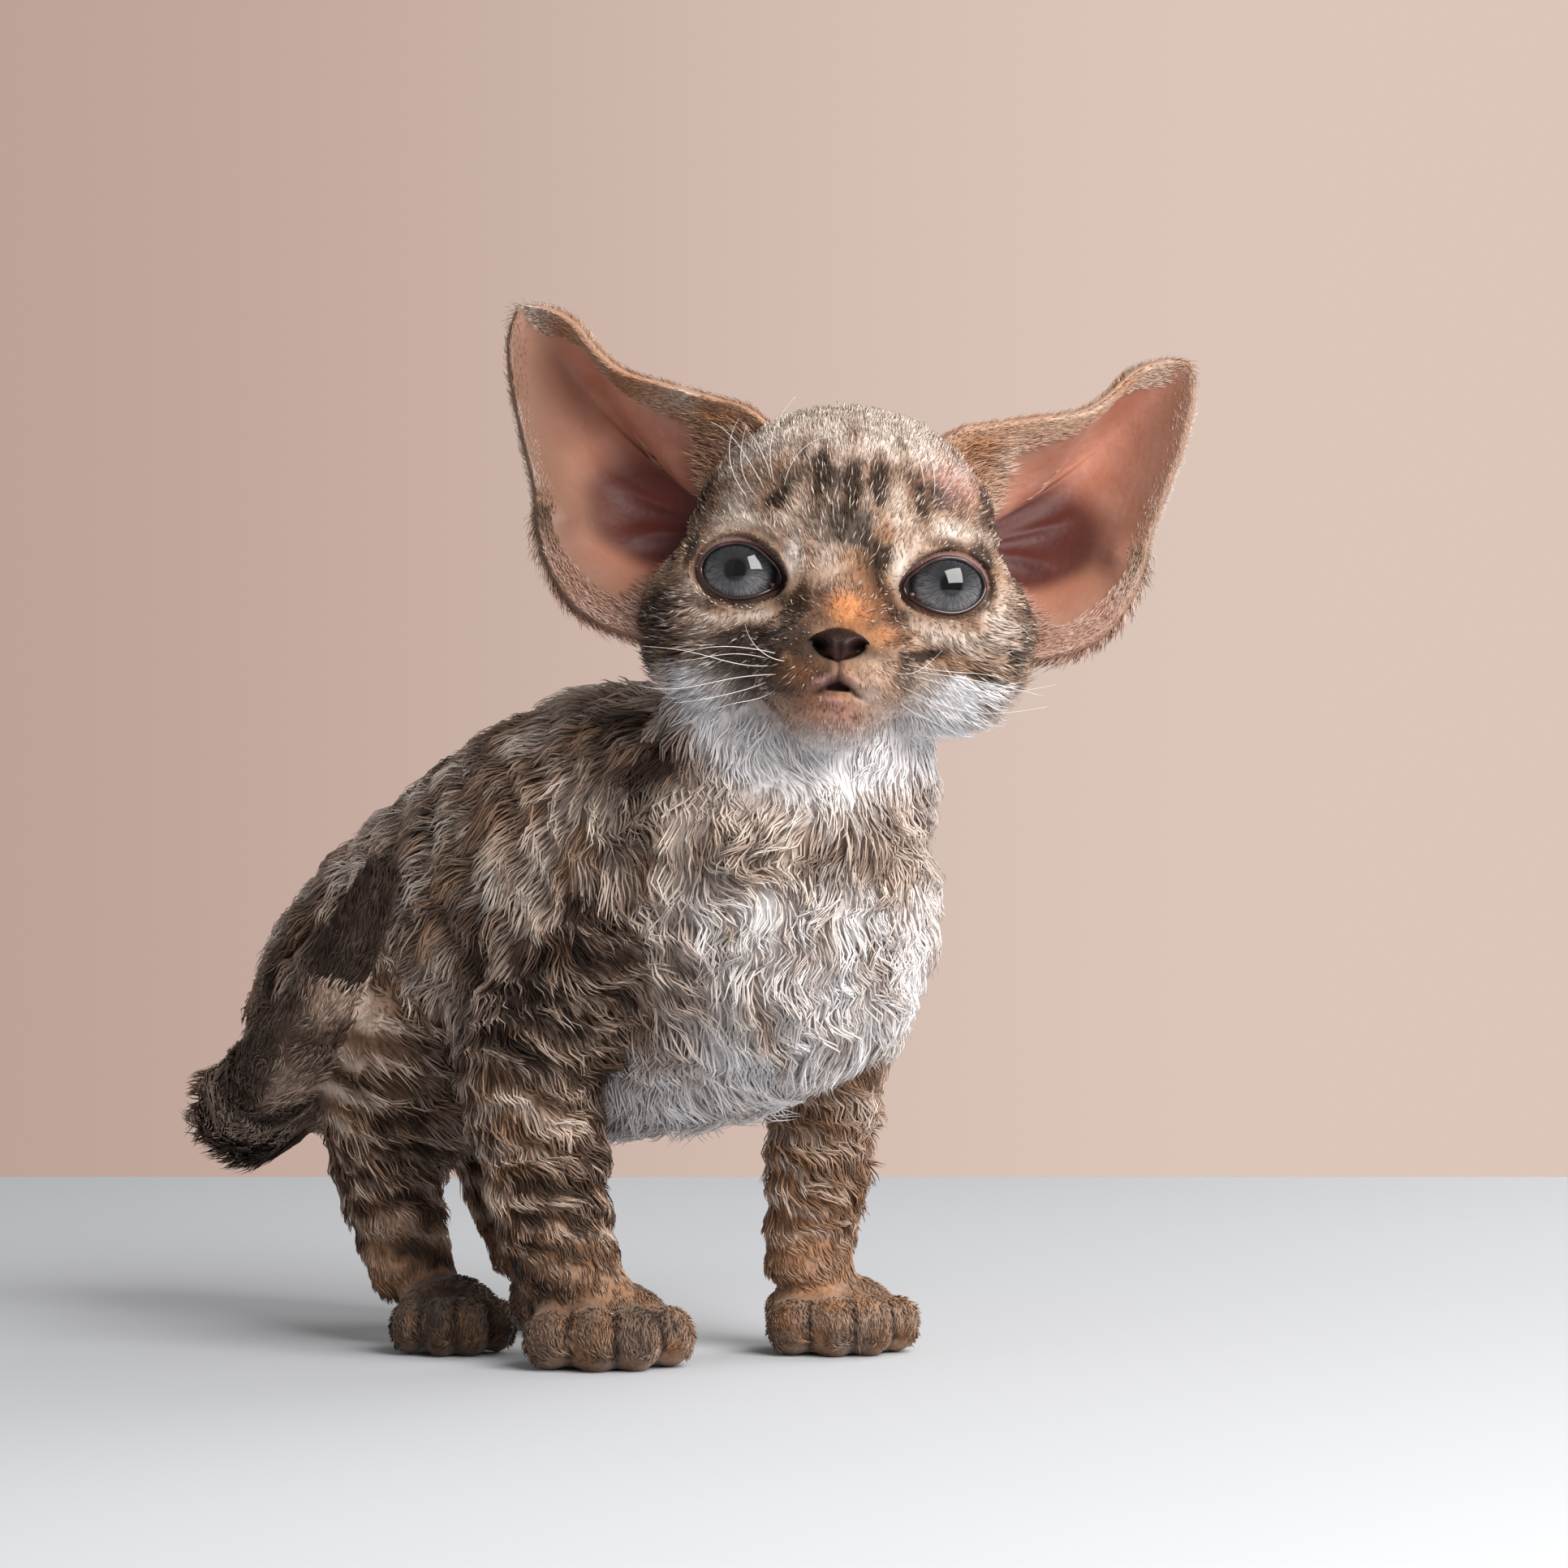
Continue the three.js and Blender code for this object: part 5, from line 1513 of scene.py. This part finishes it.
class Shader:
    """The nodes of one material, node group or world, with short ways to add and join them."""

    def __init__(self, tree, material=None):
        self.tree = tree
        self.material = material
        self.surface = None

    def add(self, kind, **settings):
        node = self.tree.nodes.new(kind)
        for label, value in settings.items():
            setattr(node, label, value)
        return node

    def feed(self, node, label, value):
        socket = node.inputs[label]
        if isinstance(value, bpy.types.NodeSocket):
            self.tree.links.new(value, socket)
        elif hasattr(value, "__len__") and len(value) == 3 and socket.type == "RGBA":
            socket.default_value = (*value, 1)
        else:
            socket.default_value = value

    def value(self, label):
        """A value that the mesh carries on its points."""
        node = self.add("ShaderNodeAttribute", attribute_type="GEOMETRY", attribute_name=label)
        return node.outputs["Fac"]

    def maths(self, operation, a, b=0.0):
        node = self.add("ShaderNodeMath", operation=operation)
        self.feed(node, 0, a)
        self.feed(node, 1, b)
        return node.outputs[0]

    def between(self, value, low, high, start=0.0, end=1.0):
        node = self.add("ShaderNodeMapRange", interpolation_type="SMOOTHSTEP")
        for label, amount in (("Value", value), ("From Min", low), ("From Max", high),
                              ("To Min", start), ("To Max", end)):
            self.feed(node, label, amount)
        return node.outputs["Result"]

    def mix(self, share, a, b, blend="MIX"):
        node = self.add("ShaderNodeMix", data_type="RGBA", blend_type=blend)
        self.feed(node, "Factor", share)
        self.feed(node, 6, a)
        self.feed(node, 7, b)
        return node.outputs[2]

    def noise(self, size, detail=3.0, stretch=(1, 1, 1), rough=0.55):
        """Noise with features of about the given size in metres."""
        place = self.add("ShaderNodeTexCoord").outputs["Object"]
        scaled = self.add("ShaderNodeVectorMath", operation="MULTIPLY")
        self.feed(scaled, 0, place)
        self.feed(scaled, 1, stretch)
        node = self.add("ShaderNodeTexNoise")
        self.feed(node, "Vector", scaled.outputs[0])
        self.feed(node, "Scale", 1 / size)
        self.feed(node, "Detail", detail)
        self.feed(node, "Roughness", rough)
        return node.outputs["Fac"]

    def bump(self, height, distance, strength=1.0):
        node = self.add("ShaderNodeBump")
        self.feed(node, "Height", height)
        self.feed(node, "Distance", distance)
        self.feed(node, "Strength", strength)
        return node.outputs["Normal"]

    def finished(self, colour, height=None, distance=0.0, strength=1.0):
        """The material, once its surface has its colour and the bumps of a height."""
        self.feed(self.surface, "Base Color", colour)
        if height is not None:
            self.feed(self.surface, "Normal", self.bump(height, distance, strength))
        return self.material

    def group(self, tree, **values):
        node = self.add("ShaderNodeGroup", node_tree=tree)
        for label, value in values.items():
            self.feed(node, label.replace("_", " ").title(), value)
        return node.outputs


def new_group(name, inputs, outputs):
    tree = bpy.data.node_groups.new(name, "ShaderNodeTree")
    for label, kind, value in inputs:
        socket = tree.interface.new_socket(label, in_out="INPUT", socket_type=kind)
        socket.default_value = value
    for label, kind in outputs:
        tree.interface.new_socket(label, in_out="OUTPUT", socket_type=kind)
    shader = Shader(tree)
    return shader, shader.add("NodeGroupInput").outputs, shader.add("NodeGroupOutput")


def tabby_group():
    """The colours of the coat from its masks."""
    marks = [(label.title(), "NodeSocketFloat", 0.0) for label in MARKS]
    g, given, out = new_group("tabby_colours", marks, [("Color", "NodeSocketColor")])
    colour = TABBY["mid"]
    for label in MARKS:
        colour = g.mix(given[label.title()], colour, TABBY[label])
    g.feed(out, "Color", colour)
    return g.tree


def pebble_group():
    """The height of fine pebbled skin, and a mask of the furrows between the pebbles."""
    g, given, out = new_group(
        "pebbled_skin", [("Grain", "NodeSocketFloat", 0.0006)],
        [("Height", "NodeSocketFloat"), ("Furrow", "NodeSocketFloat")])
    place = g.add("ShaderNodeTexCoord").outputs["Object"]
    cells = g.add("ShaderNodeTexVoronoi", feature="SMOOTH_F1")
    g.feed(cells, "Vector", place)
    g.feed(cells, "Scale", g.maths("DIVIDE", 1.0, given["Grain"]))
    soft = g.noise(0.004, 4)
    distance = cells.outputs["Distance"]
    g.feed(out, "Height", g.maths("ADD", g.maths("MULTIPLY", distance, -0.7), soft))
    g.feed(out, "Furrow", g.between(distance, 0.35, 0.75))
    return g.tree


def new_material(name, roughness, specular=0.35, sheen=0.0, sheen_tint=(1, 1, 1), coat=0.0,
                 subsurface=None):
    """The nodes of a new material, with its surface set up."""
    material = bpy.data.materials.new(name)
    material.use_nodes = True
    material.node_tree.nodes.clear()
    shader = Shader(material.node_tree, material)
    principled = shader.add("ShaderNodeBsdfPrincipled")
    shader.surface = principled
    output = shader.add("ShaderNodeOutputMaterial")
    shader.tree.links.new(principled.outputs[0], output.inputs["Surface"])
    for label, value in (("Roughness", roughness), ("Specular IOR Level", specular),
                         ("Sheen Weight", sheen), ("Coat Weight", coat)):
        shader.feed(principled, label, value)
    if sheen:
        shader.feed(principled, "Sheen Roughness", SHEEN_ROUGHNESS)
        shader.feed(principled, "Sheen Tint", sheen_tint)
    if coat:
        shader.feed(principled, "Coat Roughness", WET_ROUGHNESS)
    if subsurface:
        weight, scale, radius = subsurface
        shader.feed(principled, "Subsurface Weight", weight)
        shader.feed(principled, "Subsurface Scale", scale)
        principled.inputs["Subsurface Radius"].default_value = radius
    return shader


def coat_material(groups):
    """Hairs: painted shade at the root, paler towards the tip, each tuft a little different."""
    s = new_material("curly_coat", 0.55, 0.22, 0.08, (0.95, 0.86, 0.78))
    marks = {label: s.value(label) for label in MARKS}
    colour = s.group(groups["tabby"], **marks)["Color"]
    tip, tone, crest_shading = s.value("tip"), s.value("tone"), s.value("crest_shading")
    light = s.mix(s.between(marks["tan"], 0.0, 1.0, 0.52, 0.3), colour, COLOURS["hair_tip_and_crest_light"])
    lit = s.maths("MULTIPLY", s.between(tone, 0.35, 1.0), s.between(tip, 0.1, 0.9, 0.3, 1.0))
    lit = s.maths("MULTIPLY", lit, s.between(marks["dark"], 0.35, 1.0, 1.0, 0.12))
    # Painted light: more of the pale colour on the crests of the curls, less in their valleys
    colour = s.mix(s.maths("MULTIPLY", lit, s.between(crest_shading, 0.0, 1.0, 0.25, 1.0)), colour, light)
    # A darker copy of the colour, kept mostly off white hair: it darkens some tufts at random and is the
    # painted shade below
    deep = s.mix(1.0, colour, COLOURS["hair_shadow"], "MULTIPLY")
    deep = s.mix(s.maths("MULTIPLY", marks["white"], 0.92), deep, colour)
    colour = s.mix(s.maths("MULTIPLY", s.between(tone, 0.55, 0.0), 0.75), colour, deep)
    # Painted shade in the valleys of the curls and at the roots of the hairs
    colour = s.mix(s.between(crest_shading, 0.5, 0.0, 0.0, 0.5), colour, deep)
    colour = s.mix(s.between(tip, 0.45, 0.0, 0.0, 0.7), colour, deep)
    s.feed(s.surface, "Roughness", s.between(tone, 0.0, 1.0, 0.62, 0.45))
    return s.finished(colour, s.noise(0.0005, 2, (1, 1, 0.35)), 0.0001, 0.4)


def skin_material(groups):
    """Skin between the hairs: the coat's markings under painted shade from the hair, the short down as
    bump.
    """
    s = new_material("furred_skin", 0.75, 0.2, 0.2, (0.9, 0.82, 0.76))
    marks = {label: s.value(label) for label in MARKS}
    colour = s.group(groups["tabby"], **marks)["Color"]
    strand = s.noise(0.0007, 3, (1, 1, 0.4))
    shade = s.between(strand, 0.3, 0.7, 0.35, 0.95)
    # Painted shade from the hair over the skin, broken up by the down; bare skin keeps its own colour
    under_hair_shade = s.mix(1.0, colour, COLOURS["down_shadow"], "MULTIPLY")
    under_hair_shade = s.mix(shade, under_hair_shade, colour)
    colour = s.mix(s.value("bare"), under_hair_shade, colour)
    # Dark lips and lids, with painted shade in the line, cleft and opening of the mouth
    colour = s.mix(s.value("depth"), colour, COLOURS["mouth"])
    return s.finished(colour, strand, 0.0004, 0.7)


def ear_material(groups):
    """Thin pink skin: deep red with painted shade at the root, pale at the rim, with faint veins, and taupe
    behind.
    """
    s = new_material(
        "ear_skin", 0.55, 0.35, 0.12, (1.0, 0.85, 0.8), subsurface=(0.25, 0.0015, (1.0, 0.35, 0.22)))
    deep, furry, lobe = s.value("deep"), s.value("furry"), s.value("lobe")
    cloud = s.noise(0.009, 4)
    colour = s.mix(s.between(cloud, 0.35, 0.65), COLOURS["ear_red"], COLOURS["ear_pink"])
    colour = s.mix(lobe, colour, COLOURS["ear_lobe"])
    # The root of the ear: its redder skin under painted shade in the hollow
    colour = s.mix(s.between(deep, 0.0, 0.9, 0.0, 1.0), colour, COLOURS["ear_hollow_shade"])
    vein = s.noise(0.006, 6, (1, 1, 1), 0.7)
    ridge = s.between(s.maths("ABSOLUTE", s.maths("SUBTRACT", vein, 0.5)), 0.03, 0.0, 0.0, 0.22)
    ridge = s.maths("MULTIPLY", ridge, s.between(deep, 0.0, 0.6, 1.0, 0.0))
    colour = s.mix(ridge, colour, COLOURS["ear_vein"])
    colour = s.mix(s.maths("MULTIPLY", furry, 0.75), colour, COLOURS["ear_down"])
    colour = s.mix(s.value("back"), colour, COLOURS["ear_back"])
    colour = s.mix(s.value("grey"), colour, COLOURS["ear_dusk"])
    pebble = s.group(groups["pebble"], grain=0.0011)
    return s.finished(colour, pebble["Height"], 0.00018, 0.6)


def nose_material(groups):
    """Moist leather: maroon-brown, lighter below; painted shade darkens its furrows, and its nostrils
    nearly to black.
    """
    s = new_material("nose_leather", 0.5, 0.2, coat=0.05)
    pebble = s.group(groups["pebble"], grain=0.0005)
    # Painted shade in the furrows between the pebbles
    colour = s.mix(pebble["Furrow"], COLOURS["nose"], COLOURS["nose_furrow_shade"])
    colour = s.mix(s.between(s.value("low"), 0.3, 1.0, 0.0, 0.45), colour, COLOURS["nose_below"])
    # Painted shade, nearly black, in the nostrils
    colour = s.mix(s.value("hollow"), colour, COLOURS["nostril"])
    return s.finished(colour, pebble["Height"], 0.0002, 0.7)


def lid_material(groups):
    """The wet edge of the lids: dark brown, pink along the upper one."""
    s = new_material("lid_rim", 0.3, 0.5, coat=0.35)
    cloud = s.noise(0.003, 3)
    colour = s.mix(cloud, COLOURS["lid_dark"], COLOURS["lid_brown"])
    pink = s.maths("MULTIPLY", s.value("upper"), s.between(cloud, 0.45, 0.7, 0.0, 0.6))
    colour = s.mix(pink, colour, COLOURS["lid_pink"])
    pebble = s.group(groups["pebble"], grain=0.0005)
    return s.finished(colour, pebble["Height"], 0.0001, 0.5)


IRIS_EDGE = 0.86
PUPIL_EDGE = 0.24


def eye_material():
    """A wet cornea over a grey iris with fine fibres, a soft pupil and a dark outer ring."""
    s = new_material("kitten_eye", 0.4, 0.0, coat=1.0)
    gaze = s.value("gaze")
    around = s.add("ShaderNodeCombineXYZ")
    s.feed(around, "X", s.value("around_x"))
    s.feed(around, "Y", s.value("around_z"))
    s.feed(around, "Z", s.maths("MULTIPLY", gaze, 0.35))
    fibre = s.add("ShaderNodeTexNoise")
    s.feed(fibre, "Vector", around.outputs[0])
    s.feed(fibre, "Scale", 16.0)
    s.feed(fibre, "Detail", 4.0)
    strands = fibre.outputs["Fac"]
    iris = s.mix(s.between(strands, 0.35, 0.68), COLOURS["iris_dark"], COLOURS["iris_light"])
    iris = s.mix(s.between(gaze, PUPIL_EDGE, IRIS_EDGE - 0.3, 0.7, 0.0), iris, COLOURS["iris_heart"])
    iris = s.mix(s.between(s.value("around_z"), -0.55, 0.7, 0.0, 0.85), iris, COLOURS["iris_shade"])
    iris = s.mix(s.between(gaze, IRIS_EDGE - 0.2, IRIS_EDGE - 0.02), iris, COLOURS["iris_ring"])
    colour = s.mix(s.between(gaze, IRIS_EDGE + 0.02, IRIS_EDGE + 0.12), iris, COLOURS["eye_white"])
    wobble = s.maths("ADD", gaze, s.maths("MULTIPLY", s.maths("SUBTRACT", strands, 0.5), 0.06))
    colour = s.mix(s.between(wobble, PUPIL_EDGE + 0.05, PUPIL_EDGE - 0.05), colour, COLOURS["pupil"])
    s.feed(s.surface, "Coat IOR", 1.52)
    return s.finished(colour)


def whisker_material():
    """Pale hair, a little darker at its root."""
    s = new_material("whisker_hair", 0.35, 0.5, 0.15)
    colour = s.mix(s.between(s.value("tip"), 0.0, 0.5), COLOURS["whisker_root"], COLOURS["whisker"])
    return s.finished(colour)


# Stage
def floor_material(name, colour):
    """A matt surface with the faintest clouds."""
    s = new_material(name, 0.85, 0.25)
    cloud = s.noise(0.15, 3)
    return s.finished(s.mix(cloud, colour, [part * 0.97 for part in colour]))


FLOOR_REACH = 1500.0
FLOOR_COLOUR = (0.57, 0.59, 0.62)
# The wall's colour at its shaded left and its lit right: painted shade
WALL_SHADED_AND_LIT = ((0.51, 0.36, 0.31), (0.72, 0.565, 0.49))
ROOM_LIGHT = (0.95, 0.93, 0.94)
ROOM_STRENGTH = 0.32


def make_stage():
    """A pale floor, a camera-only wall colour with painted shade to the left, and soft light from all
    round.
    """
    near, far, half = -FLOOR_REACH, FLOOR_END, FLOOR_REACH
    corners = np.array([(-half, near, 0), (half, near, 0), (half, far, 0), (-half, far, 0)], float)
    mesh = bare_mesh("floor", to_frame(corners), np.array([[0, 1, 2, 3]]))
    mesh.materials.append(floor_material("table_white", FLOOR_COLOUR))
    floor = linked("floor", mesh)

    world = bpy.data.worlds.new("studio")
    world.use_nodes = True
    bpy.context.scene.world = world
    s = Shader(world.node_tree)
    s.tree.nodes.clear()
    seen, soft = s.add("ShaderNodeBackground"), s.add("ShaderNodeBackground")
    across = s.add("ShaderNodeSeparateXYZ")
    s.feed(across, 0, s.add("ShaderNodeTexCoord").outputs["Generated"])
    # The wall darkens to the left: painted shade
    s.feed(seen, "Color", s.mix(s.between(across.outputs["X"], -0.16, 0.1), *WALL_SHADED_AND_LIT))
    s.feed(soft, "Color", ROOM_LIGHT)
    s.feed(soft, "Strength", ROOM_STRENGTH)
    mix = s.add("ShaderNodeMixShader")
    s.feed(mix, 0, s.add("ShaderNodeLightPath").outputs["Is Camera Ray"])
    s.tree.links.new(soft.outputs[0], mix.inputs[1])
    s.tree.links.new(seen.outputs[0], mix.inputs[2])
    output = s.add("ShaderNodeOutputWorld")
    s.tree.links.new(mix.outputs[0], output.inputs["Surface"])


# Lights: where each stands from the face, how far in metres, its size, its power and its colour
LIGHTS = {
    "window": ((0.549, -0.674, 0.489), 0.9, (0.7, 0.58), 14.5, (1.0, 0.975, 0.95)),
    "fill": ((-0.8, -0.55, 0.35), 0.9, (0.9, 0.9), 0.3, (0.93, 0.96, 1.0)),
    "rim": ((0.75, 0.6, 0.45), 0.8, (0.6, 0.8), 4.2, (1.0, 0.97, 0.93)),
}


def make_lights():
    face = Vector(to_frame(HEAD_CENTRE))
    for name, (way, distance, size, power, colour) in LIGHTS.items():
        data = bpy.data.lights.new(name, "AREA")
        data.shape = "RECTANGLE"
        data.size, data.size_y = size
        data.energy = power
        data.color = colour
        light = linked(name, data)
        way = Vector(way).normalized()
        light.location = face + way * distance
        light.rotation_euler = way.to_track_quat("Z", "Y").to_euler()


def make_camera():
    data = bpy.data.cameras.new("camera")
    data.sensor_width = SENSOR
    data.lens = FOCAL_PIXELS / FRAME_PIXELS * SENSOR
    data.clip_start = 0.01
    camera = linked("camera", data)
    camera.location = to_frame(CAMERA_PLACE)
    camera.rotation_euler = (math.pi / 2, 0, 0)
    bpy.context.scene.camera = camera


# The whole kitten
FLESH = [
    "head", "neck", "torso", "tail", "foreleg_right", "foreleg_left", "hindleg_right", "hindleg_left",
    "forepaw_right", "forepaw_left", "hindpaw_right", "hindpaw_left",
]


def node_middle(node):
    low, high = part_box(node)
    return (np.array(low) + np.array(high)) / 2


# The shift sets the right eye on the middle of its solid, with the floor at zero
SHIFT = node_middle("eye_right") / MM - head_to_body(eye_centre(-1))
SHIFT[2] = 0.0

bpy.context.scene.view_settings.view_transform = "Standard"
make_camera()
make_stage()
make_lights()

groups = {"tabby": tabby_group(), "pebble": pebble_group()}
coat, skin = coat_material(groups), skin_material(groups)
rng = np.random.default_rng(SEED)

skin_points, skin_faces = make_skin()
skin_region, skin_along, _ = region_map(skin_points)
skin_masks = coat_marks(skin_points, skin_region, skin_along)
skin_local = body_to_head(skin_points)
# Dark lips and lids, and painted shade in the line, cleft and opening of the mouth
skin_masks["depth"] = np.maximum(mouth_depth(skin_local), LID_DEPTH * lid_skin(skin_local))
body_skin = piece("skin", skin_points, skin_faces, skin, "coat", skin_masks)
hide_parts(*FLESH)
grow_coat(skin_points, skin_faces, coat, rng)

ears = ear_material(groups)
eyes = eye_material()
lids = lid_material(groups)
for side in SIDES:
    make_ear(side, ears)
    ear_tufts(side, coat, rng)
    make_eye(side, eyes)
    make_lid_rim(side, lids)
    make_tear_corner(side, lids)
make_nose(nose_material(groups))
make_whiskers(whisker_material(), rng)
